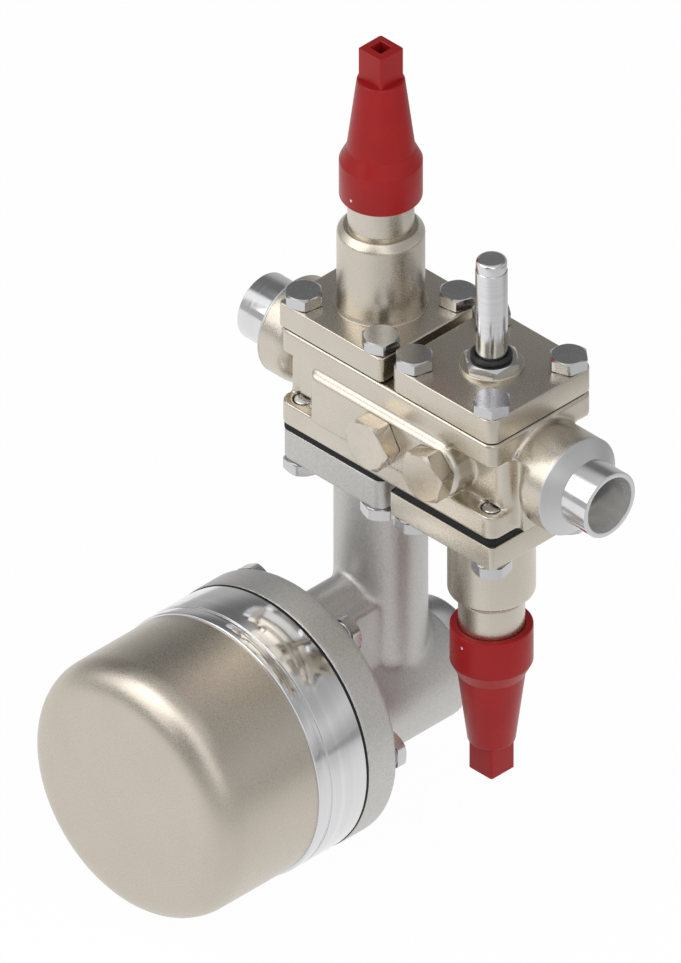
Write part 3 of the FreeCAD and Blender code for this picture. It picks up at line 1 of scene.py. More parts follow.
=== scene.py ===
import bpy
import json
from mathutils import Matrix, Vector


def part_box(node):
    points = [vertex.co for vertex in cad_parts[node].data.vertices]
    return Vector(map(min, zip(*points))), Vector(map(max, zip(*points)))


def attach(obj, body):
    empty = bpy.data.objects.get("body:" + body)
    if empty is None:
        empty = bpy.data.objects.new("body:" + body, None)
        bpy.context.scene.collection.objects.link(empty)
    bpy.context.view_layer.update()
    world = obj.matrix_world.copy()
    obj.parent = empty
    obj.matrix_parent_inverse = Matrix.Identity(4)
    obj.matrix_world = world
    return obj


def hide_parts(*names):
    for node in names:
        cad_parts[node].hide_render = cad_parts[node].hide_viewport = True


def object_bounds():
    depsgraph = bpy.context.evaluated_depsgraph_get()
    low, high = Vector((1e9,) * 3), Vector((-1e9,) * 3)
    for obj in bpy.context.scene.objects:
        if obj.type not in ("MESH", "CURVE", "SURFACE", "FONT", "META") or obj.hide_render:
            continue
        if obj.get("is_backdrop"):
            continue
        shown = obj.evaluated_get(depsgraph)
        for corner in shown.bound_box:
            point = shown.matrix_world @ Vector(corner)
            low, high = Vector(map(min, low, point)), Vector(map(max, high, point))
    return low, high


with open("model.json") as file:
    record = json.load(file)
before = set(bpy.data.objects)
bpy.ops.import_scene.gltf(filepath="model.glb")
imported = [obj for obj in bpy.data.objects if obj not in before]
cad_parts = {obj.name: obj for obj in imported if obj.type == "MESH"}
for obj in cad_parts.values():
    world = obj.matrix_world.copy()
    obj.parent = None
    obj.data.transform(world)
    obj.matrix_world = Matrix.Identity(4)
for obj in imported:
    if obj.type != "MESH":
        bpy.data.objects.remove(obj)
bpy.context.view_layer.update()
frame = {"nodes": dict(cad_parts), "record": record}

import json
from math import cos, hypot, pi, radians, sin, sqrt, tan
import bmesh
import bpy
import numpy as np
from bpy.props import FloatProperty, FloatVectorProperty, IntProperty, PointerProperty
from mathutils import Matrix, Vector

bl_info = {
    "name": "Valve station",
    "version": (1, 0, 0),
    "blender": (4, 5, 0),
    "location": "3D View > Sidebar > Station",
    "description": "Builds the castings, caps, bolts and finishes of a refrigeration valve station",
    "category": "Object",
}

MM = 0.001
STATION = "station"


def middle(node):
    """The centre of a CAD node's box."""
    low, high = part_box(node)
    return (low + high) / 2


def length_setting(name, description, value):
    """A setting for a length, given in mm."""
    return FloatProperty(name=name, description=description, default=value * MM, unit="LENGTH")


def share_setting(name, description, value):
    """A setting for a brightness or a share."""
    return FloatProperty(name=name, description=description, default=value)


def colour_setting(name, description, value):
    """A setting for a colour."""
    return FloatVectorProperty(name=name, description=description, size=3, subtype="COLOR", default=value)


INLET_X = middle("inlet_stop_bolts").x
OUTLET_X = middle("outlet_stop_bolts").x
UPPER_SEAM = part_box("solenoid_gasket")[1].z
OUTLET_SEAM = -30.7 * MM
FLOAT_SEAM = -29.9 * MM
FLOAT_AXIS_Z = middle("float_can").z
BARREL_Z = middle("barrel_plug").z


# Sizes and colours that a user may change

class StageSettings(bpy.types.PropertyGroup):
    """The camera and the light."""

    view_height: length_setting("View height", "Length that the picture's height covers", 449)
    target: FloatVectorProperty(name="Target", description="Point at the picture's centre",
                                default=(126.5 * MM, -75.1 * MM, 0.0), subtype="TRANSLATION", unit="LENGTH")
    key_power: FloatProperty(name="Key light", description="Power of the large soft light", default=4.2,
                             unit="POWER")
    ceiling: share_setting("Ceiling", "Brightness of the room above", 0.18)
    strip: share_setting("Strip", "Brightness of the strip high in front", 0.9)
    floor_side: share_setting("Right floor", "Mirrored brightness of the floor at the right", 0.66)
    floor_rear: share_setting("Rear floor", "Share of it that is left at the rear", 0.55)


class StopValveSizes(bpy.types.PropertyGroup):
    """The bonnets and caps of the stop valves."""

    plate_half: length_setting("Plate half width", "From the axis to a side of the plate", 34)
    plate_thickness: length_setting("Plate thickness", "Thickness of a module's plate", 13)
    tower_radius: length_setting("Tower radius", "Radius of the bonnet's tower", 20.75)
    neck_radius: length_setting("Neck radius", "Radius of the threaded neck", 15.7)
    cap_start: length_setting("Cap start", "Height of the cap's rim above the plate's foot", 74.5)
    collar_radius: length_setting("Collar radius", "Radius of the cap's collar", 19.65)


class BoltSizes(bpy.types.PropertyGroup):
    """The hexagon heads."""

    key: length_setting("Key width", "Width across the flats", 17)
    head: length_setting("Head height", "Height of a bolt head", 6.4)
    spread: length_setting("Bolt offset", "From a module's axis to a bolt", 25.5)
    circle: length_setting("Bolt circle radius", "Radius of the float can's bolt circle", 59)
    seed: IntProperty(name="Seed", description="Picks how far each head was turned", default=4)


class CastingSettings(bpy.types.PropertyGroup):
    """How the castings are rounded."""

    grid: length_setting("Grid", "Cell size of the casting's surface", 0.9)
    edge_rounds: IntProperty(name="Edge rounds", description="Smoothing steps for outer edges", default=2)
    fillet_rounds: IntProperty(name="Fillet rounds", description="Smoothing steps for inner corners",
                               default=10)


class FinishColours(bpy.types.PropertyGroup):
    """The colours of the finishes."""

    cast_nickel: colour_setting("Housing", "Nickel-plated casting", (0.645, 0.593, 0.512))
    float_cast: colour_setting("Float casting", "Bare grey casting", (0.585, 0.573, 0.555))
    can_steel: colour_setting("Float can", "Satin can", (0.59, 0.535, 0.46))
    bright_steel: colour_setting("Bright steel", "Turned and polished steel", (0.74, 0.74, 0.75))
    zinc: colour_setting("Zinc", "Zinc-plated bolts", (0.62, 0.62, 0.63))
    red: colour_setting("Caps", "Red seal caps", (0.30, 0.0095, 0.0105))


# Places of the modules

def upright(x, seam):
    """From a module's own frame to the row frame, for a module that stands on the housing."""
    return Matrix.Translation((x, 0, seam))


def hanging(x, seam):
    """From a module's own frame to the row frame, for a module that hangs below the housing."""
    return Matrix.Translation((x, 0, seam)) @ Matrix.Rotation(pi, 4, "Y")


def facing_front(x, z):
    """A turned piece whose own Z points to the front."""
    return Matrix.Translation((x, 0, z)) @ Matrix.Rotation(pi / 2, 4, "X")


def facing_rear(x, z):
    """A turned piece whose own Z points to the rear."""
    return Matrix.Translation((x, 0, z)) @ Matrix.Rotation(-pi / 2, 4, "X")


def facing_along(x, side):
    """A turned piece whose own Z points along the pipe, into the housing from one end."""
    return Matrix.Translation((x, 0, 0)) @ Matrix.Rotation(side * pi / 2, 4, "Y")


def stop_valve_places():
    """The places of the two stop valves."""
    return {"inlet": upright(INLET_X, UPPER_SEAM), "outlet": hanging(OUTLET_X, OUTLET_SEAM)}


# Outlines

def corner_arc(before, corner, after, radius, steps):
    """Points of the arc that replaces a corner, limited by the two sides beside it."""
    into, out = (before - corner), (after - corner)
    room = 0.48 * min(into.length, out.length)
    into.normalize()
    out.normalize()
    half = into.angle(out) / 2
    if radius <= 0 or half > radians(89):
        return [corner]
    reach = min(radius / tan(half), room)
    radius = reach * tan(half)
    centre = corner + (into + out).normalized() * (radius / sin(half))
    start, end = corner + into * reach - centre, corner + out * reach - centre
    return [centre + start.slerp(end, step / steps).normalized() * radius for step in range(steps + 1)]


def in_mm(points):
    """An outline's points, from points given in mm."""
    return [tuple(value * MM for value in point) for point in points]


def rounded_profile(points, steps=4):
    """An outline from (radius, height, edge radius) points in mm, with each edge rounded."""
    points = in_mm(points)
    places = [Vector((point[0], point[1])) for point in points]
    outline = []
    for number, (place, point) in enumerate(zip(places, points)):
        edge = point[2] if len(point) > 2 else 0
        if edge <= 0 or place.x < 1e-7:
            outline.append(place)
            continue
        before, after = places[number - 1], places[(number + 1) % len(places)]
        outline += corner_arc(before, place, after, edge, steps)
    return outline


def ring_points(radius, angles, centre=(0, 0)):
    """Points of a circle, at angles in degrees."""
    turns = [radians(angle) for angle in angles]
    return [(centre[0] + radius * cos(turn), centre[1] + radius * sin(turn)) for turn in turns]


def arc_points(centre, radius, first, last, steps):
    """Points of an arc in the profile plane, from one angle to another, in degrees."""
    return ring_points(radius, [first + (last - first) * step / steps for step in range(steps + 1)], centre)


def square_loop(half, corner, height, inset=0.0, steps=8):
    """A level loop round a square with round corners."""
    corner = max(corner - inset, 0.05 * MM)
    flat = half - inset - corner
    loop = []
    for number, (side_x, side_y) in enumerate([(1, 1), (-1, 1), (-1, -1), (1, -1)]):
        for step in range(steps + 1):
            angle = radians(90 * (number + step / steps))
            loop.append(Vector((side_x * flat + corner * cos(angle),
                                side_y * flat + corner * sin(angle), height)))
    return loop


# Meshes

def mesh_of(shape, name):
    """Turn a bmesh into a mesh."""
    mesh = bpy.data.meshes.new(name)
    shape.to_mesh(mesh)
    shape.free()
    return mesh


def new_mesh(build, name, place=Matrix.Identity(4)):
    """Make a mesh by a function that fills a bmesh, and move it to its place."""
    shape = bmesh.new()
    build(shape)
    bmesh.ops.recalc_face_normals(shape, faces=shape.faces)
    bmesh.ops.transform(shape, matrix=place, verts=shape.verts)
    return mesh_of(shape, name)


def add_lathe(shape, outline, segments=96):
    """Turn a closed outline of (radius, height) points about Z."""
    rings = []
    for radius, height in [(point[0], point[1]) for point in outline]:
        if radius < 1e-7:
            rings.append([shape.verts.new((0, 0, height))])
            continue
        rings.append([shape.verts.new((radius * cos(2 * pi * step / segments),
                                       radius * sin(2 * pi * step / segments), height))
                      for step in range(segments)])
    for number, low in enumerate(rings):
        high = rings[(number + 1) % len(rings)]
        if len(low) == 1 and len(high) == 1:
            continue
        for step in range(segments):
            corners = [low[step % len(low)], low[(step + 1) % len(low)],
                       high[(step + 1) % len(high)], high[step % len(high)]]
            kept = [vert for index, vert in enumerate(corners) if vert not in corners[:index]]
            shape.faces.new(kept)


def lathed(outline, segments=96):
    """A function that turns an outline into a shape."""
    return lambda shape: add_lathe(shape, outline, segments)


def add_stack(shape, loops, hollow=False):
    """Join loops into a closed solid: it has flat ends, or the last loop joins the first."""
    rows = [[shape.verts.new(point) for point in loop] for loop in loops]
    for low, high in zip(rows, rows[1:] + rows[:1] if hollow else rows[1:]):
        for step in range(len(low)):
            follower = (step + 1) % len(low)
            shape.faces.new([low[step], low[follower], high[follower], high[step]])
    if not hollow:
        shape.faces.new(rows[0][::-1])
        shape.faces.new(rows[-1])


def drawn_in(loop, radius, height):
    """The points of a loop moved onto a level circle."""
    return [Vector((point.x, point.y, 0)).normalized() * radius + Vector((0, 0, height)) for point in loop]


def add_prism(shape, outline, low, high):
    """A closed solid between two copies of a loop, one moved by low and one by high."""
    add_stack(shape, [[point + low for point in outline], [point + high for point in outline]])


def joined(first, second):
    """One mesh with the faces of both."""
    shape = bmesh.new()
    shape.from_mesh(first)
    shape.from_mesh(second)
    return mesh_of(shape, first.name)


def edge_levels(low, high, low_edge, high_edge, steps=4):
    """(inset, height) pairs of a wall whose two rims are rounded."""
    angles = [pi / 2 * step / steps for step in range(steps + 1)]
    levels = [(low_edge * (1 - sin(angle)), low + low_edge * (1 - cos(angle)))
              for angle in angles]
    return levels + [(high_edge * (1 - cos(angle)), high - high_edge * (1 - sin(angle)))
                     for angle in angles]


def add_plate(shape, half, corner, low, high, low_edge, high_edge, hole=0.0):
    """A square plate with round corners, rounded rims and an optional round hole."""
    levels = edge_levels(low, high, low_edge, high_edge)
    loops = [square_loop(half, corner, height, inset) for inset, height in levels]
    if hole > 0:
        loops += [drawn_in(loops[0], hole, high), drawn_in(loops[0], hole, low)]
    add_stack(shape, loops, hole > 0)


def hexagon_radius(angle, key, turn):
    """From a hexagon's centre to its side, with the six edges blunted."""
    sector = (angle - turn) % radians(60) - radians(30)
    blunt = 0.985
    return min(key / 2 / cos(sector), key / sqrt(3) * blunt)


def add_hexagon_head(shape, key, low, high, bevel, turn=0.0, segments=72, hollow=0.0):
    """A hexagon head whose corners are turned back to a cone, with an optional through hole."""
    angles = [2 * pi * step / segments for step in range(segments)]
    rim = key / 2 - bevel
    slope = tan(radians(30))

    def loop(reach_limit, height_of):
        points = []
        for angle in angles:
            reach = min(hexagon_radius(angle, key, turn), reach_limit)
            points.append(Vector((reach * cos(angle), reach * sin(angle), height_of(reach))))
        return points

    def cone_height(reach):
        return high - max(reach - rim, 0) * slope

    loops = [loop(key, lambda reach: low), loop(key, cone_height), loop(rim, lambda reach: high)]
    if hollow > 0:
        loops += [loop(hollow, lambda reach: high), loop(hollow, lambda reach: low)]
    add_stack(shape, loops, hollow > 0)


def merged_copy(node):
    """A copy of a CAD node's mesh with its loose triangles joined."""
    shape = bmesh.new()
    shape.from_mesh(frame["nodes"][node].data)
    bmesh.ops.remove_doubles(shape, verts=shape.verts, dist=0.002 * MM)
    return mesh_of(shape, node + "_copy")


def put_in_scene(name, data):
    """Link a mesh, a camera or a lamp to the scene as an object at the origin."""
    item = bpy.data.objects.new(name, data)
    bpy.context.scene.collection.objects.link(item)
    return item


def aim(item, centre, direction, distance):
    """Move a camera or a lamp away from a point, and turn it to that point."""
    heading = Vector(direction).normalized()
    item.location = centre + heading * distance
    item.rotation_euler = heading.to_track_quat("Z", "Y").to_euler()


def plain_mesh(piece, name):
    """The mesh of an object with its modifiers applied, and the modifiers taken off."""
    bpy.context.view_layer.update()
    evaluated = piece.evaluated_get(bpy.context.evaluated_depsgraph_get())
    mesh = bpy.data.meshes.new_from_object(evaluated)
    mesh.name = name
    piece.modifiers.clear()
    return mesh


def soften_casting(mesh, edge_rounds, fillet_rounds):
    """Round outer edges a little and fill inner corners with larger fillets."""
    count = len(mesh.vertices)
    points, normals = np.zeros(count * 3), np.zeros(count * 3)
    edges = np.zeros(len(mesh.edges) * 2, dtype=np.int64)
    mesh.vertices.foreach_get("co", points)
    mesh.edges.foreach_get("vertices", edges)
    points = points.reshape(-1, 3)
    first, second = edges.reshape(-1, 2).T
    weight = np.bincount(edges, minlength=count)
    for number in range(edge_rounds + fillet_rounds):
        total = [np.bincount(first, part[second], count) + np.bincount(second, part[first], count)
                 for part in points.T]
        step = np.stack(total, axis=1) / weight[:, None] - points
        mesh.vertices.foreach_set("co", points.ravel())
        mesh.update()
        mesh.vertex_normals.foreach_get("vector", normals)
        outward = np.einsum("ij,ij->i", step, normals.reshape(-1, 3))
        share = np.where((outward > 0) | (number < edge_rounds), 0.5, 0.0)
        points += step * share[:, None]
    mesh.vertices.foreach_set("co", points.ravel())
    mesh.update()


FINISHES = {"cast_nickel": "Nickel casting", "float_cast": "Grey casting", "can_steel": "Satin can",
            "polished_steel": "Polished stem", "turned_steel": "Inner steel", "brass": "Brass",
            "zinc_bolts": "Zinc heads", "red_cap": "Red caps", "gasket_sheet": "Gasket and seam shade",
            "black_rubber": "Black rubber", "packing_ring": "Packing", "spring_steel": "Spring wire"}


def finish_piece(name, mesh, slot, body=STATION, nodes=(), crease=32, finish=None):
    """Shade a piece, give it its finish, tie it to its CAD body and hide the nodes it stands for."""
    piece = put_in_scene(name, mesh)
    mesh.materials.clear()
    mesh.materials.append(bpy.data.materials[finish or FINISHES[slot]])
    mesh.polygons.foreach_set("use_smooth", [True] * len(mesh.polygons))
    mesh.polygons.foreach_set("material_index", [0] * len(mesh.polygons))
    mesh.set_sharp_from_angle(angle=radians(crease))
    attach(piece, body)
    if nodes:
        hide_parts(*nodes)


def make_piece(name, build, place, slot, body=STATION, **values):
    """Build a piece's mesh in its place, and finish it."""
    finish_piece(name, new_mesh(build, name, place), slot, body, **values)


# Shader node groups

def new_group(name, kind, inputs, outputs):
    """Start a node group with its sockets, and return it with its inner ends."""
    group = bpy.data.node_groups.new(name, kind)
    for way, sockets in (("INPUT", inputs), ("OUTPUT", outputs)):
        for socket, value in sockets.items():
            group.interface.new_socket(name=socket, in_out=way, socket_type="NodeSocket" + value)
    return group, group.nodes.new("NodeGroupInput").outputs, group.nodes.new("NodeGroupOutput").inputs


def shader_group(name, inputs, outputs):
    """Start a shader node group: a vector and numbers go in, and numbers come out."""
    return new_group(name, "ShaderNodeTree", {"Vector": "Vector", **dict.fromkeys(inputs, "Float")},
                     dict.fromkeys(outputs, "Float"))[1:]


def add_node(kind, values, output=0, tree=None, **options):
    """Add a node to the tree of its inputs, set or link these, and return one of its outputs."""
    links = {socket: value for socket, value in values.items() if isinstance(value, bpy.types.NodeSocket)}
    node = (tree or next(iter(links.values())).id_data).nodes.new(kind)
    for name, value in options.items():
        setattr(node, name, value)
    for socket, value in values.items():
        if socket in links:
            connect(value, node.inputs[socket])
        else:
            node.inputs[socket].default_value = value
    return node.outputs[output]


def connect(source, target):
    """Link an output to an input of the same tree."""
    target.id_data.links.new(source, target)


def noise(vector, scale, detail, roughness=0.55):
    """A noise texture on given coordinates."""
    values = {"Vector": vector, "Scale": scale, "Detail": detail, "Roughness": roughness}
    return add_node("ShaderNodeTexNoise", values, "Fac")


def maths(operation, *values):
    """A math node; numbers and sockets may be mixed."""
    return add_node("ShaderNodeMath", dict(enumerate(values)), operation=operation)


def times(first, second):
    """The product of two numbers or sockets."""
    return maths("MULTIPLY", first, second)


def plus(first, second):
    """The sum of two numbers or sockets."""
    return maths("ADD", first, second)


def minus(first, second):
    """The difference of two numbers or sockets."""
    return maths("SUBTRACT", first, second)


def larger(first, second):
    """The larger of two numbers or sockets."""
    return maths("MAXIMUM", first, second)


def weighted(first, share, second, other_share):
    """The sum of two values, each times its own share."""
    return plus(times(first, share), times(second, other_share))


def split_xyz(vector):
    """The three parts of a vector."""
    return add_node("ShaderNodeSeparateXYZ", {0: vector}).node.outputs


def mix_shaders(share, first, second, target):
    """Send a mix of two shaders to a socket."""
    connect(add_node("ShaderNodeMixShader", {0: share, 1: first, 2: second}), target)


def map_range(value, low, high, **options):
    """Map a value between two (value, result) pairs."""
    values = {"Value": value, "From Min": low[0], "To Min": low[1], "From Max": high[0], "To Max": high[1]}
    return add_node("ShaderNodeMapRange", values, "Result", **options)


def ease(value, low, high):
    """Map a value smoothly between two (value, result) pairs."""
    return map_range(value, low, high, interpolation_type="SMOOTHSTEP")


def make_cast_grain():
    """Grain of a blasted casting: a bump height, a fine mask and broad cloudiness."""
    enter, leave = shader_group("Cast grain", ("Grain", "Cloud"), ("Height", "Speckle", "Cloudiness"))
    fine = noise(enter["Vector"], enter["Grain"], 3.0, 0.7)
    broad = noise(enter["Vector"], enter["Cloud"], 4.0, 0.5)
    waves = noise(enter["Vector"], times(enter["Cloud"], 4.0), 2.0)
    speckle = larger(maths("MULTIPLY_ADD", fine, 2.6, -0.8), 0.0)
    connect(weighted(fine, 0.8, waves, 0.2), leave["Height"])
    connect(maths("MINIMUM", speckle, 1.0), leave["Speckle"])
    connect(broad, leave["Cloudiness"])


def make_turned_lines():
    """Fine tool marks round an axis along Z: they follow the radius and the height."""
    enter, leave = shader_group("Turned lines", ("Pitch",), ("Height", "Streak"))
    across, along, height = split_xyz(enter["Vector"])
    radius = maths("SQRT", plus(times(across, across), times(along, along)))
    section = add_node("ShaderNodeCombineXYZ", {0: radius, 1: height})
    connect(noise(section, enter["Pitch"], 2.0, 0.6), leave["Height"])
    connect(noise(section, times(enter["Pitch"], 0.2), 2.0), leave["Streak"])


def make_scuffs():
    """Sparse handling marks: a mask of thin short scratches and rubbed patches."""
    enter, leave = shader_group("Scuffs", ("Density",), ("Mask",))
    stretch = {"Vector": enter["Vector"], "Rotation": (0.4, 0.3, 0.8), "Scale": (9.0, 1.0, 1.0)}
    thin = noise(add_node("ShaderNodeMapping", stretch), enter["Density"], 3.0, 0.65)
    patches = noise(enter["Vector"], times(enter["Density"], 0.5), 2.0)
    off_line = maths("ABSOLUTE", minus(thin, 0.5))
    narrow = larger(minus(1.0, times(off_line, 14.0)), 0.0)
    picked = larger(times(minus(patches, 0.52), 6.0), 0.0)
    connect(maths("MINIMUM", times(narrow, picked), 1.0), leave["Mask"])


class Finish:
    """A material in the making: its Principled shader and the texture nodes that feed it."""

    def __init__(self, name, colour, metallic, roughness):
        colour = tuple(colour)
        self.material = bpy.data.materials.new(name)
        self.material.use_nodes = True
        self.material.diffuse_color = (*colour, 1.0)
        self.tree = self.material.node_tree
        self.shader = self.tree.nodes["Principled BSDF"]
        self.shader.inputs["Base Color"].default_value = (*colour, 1.0)
        self.shader.inputs["Metallic"].default_value = metallic
        self.shader.inputs["Roughness"].default_value = roughness
        self.colour = colour
        self.vector = self.tree.nodes.new("ShaderNodeTexCoord").outputs["Object"]

    def centre_on(self, place, turn_x=0.0, turn_y=0.0):
        """Move the pattern's axis to a line through the point; the turns lay it along Y or X."""
        values = {"Location": place, "Rotation": (turn_x, turn_y, 0), "Vector": self.vector}
        self.vector = add_node("ShaderNodeMapping", values, vector_type="TEXTURE")

    def place_group(self, name, **values):
        """Add a shared effect with this material's own values."""
        node = self.tree.nodes.new("ShaderNodeGroup")
        node.node_tree = bpy.data.node_groups[name]
        connect(self.vector, node.inputs["Vector"])
        for socket, value in values.items():
            node.inputs[socket].default_value = value
        return node.outputs

    def tint(self, mask, low, high):
        """Vary the base colour's strength with a mask."""
        dark, light = [(*[min(channel * share, 1.0) for channel in self.colour], 1.0)
                       for share in (low, high)]
        mix = add_node("ShaderNodeMix", {0: mask, 6: dark, 7: light}, 2, data_type="RGBA")
        connect(mix, self.shader.inputs["Base Color"])

    def vary_roughness(self, mask, low, high):
        """Vary the roughness between two values with a mask."""
        roughness = map_range(mask, (0.3, low), (0.7, high))
        connect(roughness, self.shader.inputs["Roughness"])

    def bump(self, height, strength, distance, scuffs=None, depth=0.0):
        """Press a height pattern into the surface, with scuffs cut into it."""
        if scuffs is not None:
            height = minus(height, times(scuffs, depth))
        values = {"Strength": strength, "Distance": distance, "Height": height}
        connect(add_node("ShaderNodeBump", values), self.shader.inputs["Normal"])


def cast_finish(name, colour, roughness, grain, strength, fleck=0.3, metallic=1.0):
    """A metal casting with a fine blasted grain."""
    finish = Finish(name, colour, metallic, roughness)
    marks = finish.place_group("Cast grain", Grain=grain, Cloud=32.0)
    scratches = finish.place_group("Scuffs", Density=70.0)["Mask"]
    mottle = weighted(marks["Cloudiness"], 1 - fleck, marks["Speckle"], fleck)
    finish.tint(mottle, 0.86, 1.12)
    finish.vary_roughness(marks["Speckle"], roughness - 0.03, roughness + 0.05)
    finish.bump(marks["Height"], strength, 0.2 * MM, scratches, 0.2)


def turned_finish(name, colour, roughness, axis_place, pitch, strength, turn_x=0.0, turn_y=0.0):
    """A machined or polished metal surface with tool marks round its axis."""
    finish = Finish(name, colour, 1.0, roughness)
    finish.centre_on(axis_place, turn_x, turn_y)
    marks = finish.place_group("Turned lines", Pitch=pitch)
    scratches = finish.place_group("Scuffs", Density=90.0)["Mask"]
    finish.tint(marks["Streak"], 0.88, 1.1)
    finish.vary_roughness(marks["Height"], max(roughness - 0.05, 0.03), roughness + 0.08)
    finish.bump(marks["Height"], strength, 0.03 * MM, scratches, 0.4)


def coated_finish(name, colour, roughness, metallic, grain, strength, specular=0.5):
    """A painted, plated or moulded surface with a faint orange-peel bump."""
    finish = Finish(name, colour, metallic, roughness)
    finish.shader.inputs["Specular IOR Level"].default_value = specular
    marks = finish.place_group("Cast grain", Grain=grain, Cloud=60.0)
    scuffs = finish.place_group("Scuffs", Density=110.0)
    finish.tint(marks["Cloudiness"], 0.85, 1.12)
    rough = weighted(marks["Speckle"], 0.7, scuffs["Mask"], 0.3)
    finish.vary_roughness(rough, max(roughness - 0.06, 0.05), roughness + 0.08)
    finish.bump(marks["Height"], strength, 0.06 * MM)


# Operators

class STATION_OT_finishes(bpy.types.Operator):
    """Make every material and give the CAD nodes that stay visible theirs"""

    bl_idname = "station.finishes"
    bl_label = "Finishes"

    def execute(self, context):
        colours = context.scene.station_colours
        make_cast_grain()
        make_turned_lines()
        make_scuffs()
        bright = colours.bright_steel
        cast_finish("Nickel casting", colours.cast_nickel, 0.29, 1700.0, 0.24)
        cast_finish("Grey casting", colours.float_cast, 0.4, 1000.0, 1.0, 1.0, 0.85)
        cast_finish("Satin can", colours.can_steel, 0.3, 1700.0, 0.5, 0.6)
        turned_finish("Polished stem", bright, 0.13, (OUTLET_X, 0, 0), 2500.0, 0.25)
        turned_finish("Chromed weld ends", bright, 0.13, (0, 0, 0), 500.0, 0.06, turn_y=pi / 2)
        turned_finish("Turned cones", (0.66, 0.66, 0.66), 0.38, (0, 0, 0), 900.0, 0.05, turn_y=pi / 2)
        turned_finish("Polished ring", bright, 0.09, (INLET_X, 0, FLOAT_AXIS_Z), 900.0, 0.05, pi / 2)
        coated_finish("Satin bore", (0.8, 0.8, 0.8), 0.2, 0.65, 900.0, 0.1)
        turned_finish("Inner steel", (0.56, 0.56, 0.57), 0.3, (INLET_X, 0, 0), 1800.0, 0.4)
        turned_finish("Brass", (0.66, 0.47, 0.2), 0.28, (OUTLET_X, 0, 0), 1800.0, 0.4)
        coated_finish("Zinc heads", colours.zinc, 0.24, 1.0, 1200.0, 0.25)
        coated_finish("Plug nickel", colours.cast_nickel, 0.22, 1.0, 1200.0, 0.2)
        coated_finish("Red caps", colours.red, 0.36, 0.0, 900.0, 0.2, specular=0.22)
        # Gaskets: near black, partly their own dark tone and partly painted shade for the shadowed seams
        # between the flanges
        coated_finish("Gasket and seam shade", (0.006, 0.006, 0.006), 0.8, 0.0, 1400.0, 0.8)
        coated_finish("Black rubber", (0.012, 0.012, 0.013), 0.45, 0.0, 900.0, 0.4)
        coated_finish("Packing", (0.62, 0.60, 0.56), 0.5, 0.0, 900.0, 0.3)
        coated_finish("Spring wire", (0.42, 0.42, 0.44), 0.32, 1.0, 900.0, 0.3)
        for entry in frame["record"]["subparts"]:
            for place in frame["nodes"][entry["node"]].material_slots:
                place.material = bpy.data.materials[FINISHES[entry["material_slot"]]]
        return {"FINISHED"}


def remeshed(mesh, name, context, fillet_share=1):
    """A casting's mesh on an even grid, with its corners softened."""
    settings = context.scene.station_casting
    piece = put_in_scene(name, mesh)
    grid = piece.modifiers.new("Grid", "REMESH")
    grid.mode = "VOXEL"
    grid.voxel_size = settings.grid
    result = plain_mesh(piece, name)
    bpy.data.objects.remove(piece)
    soften_casting(result, settings.edge_rounds, settings.fillet_rounds * fillet_share)
    return result


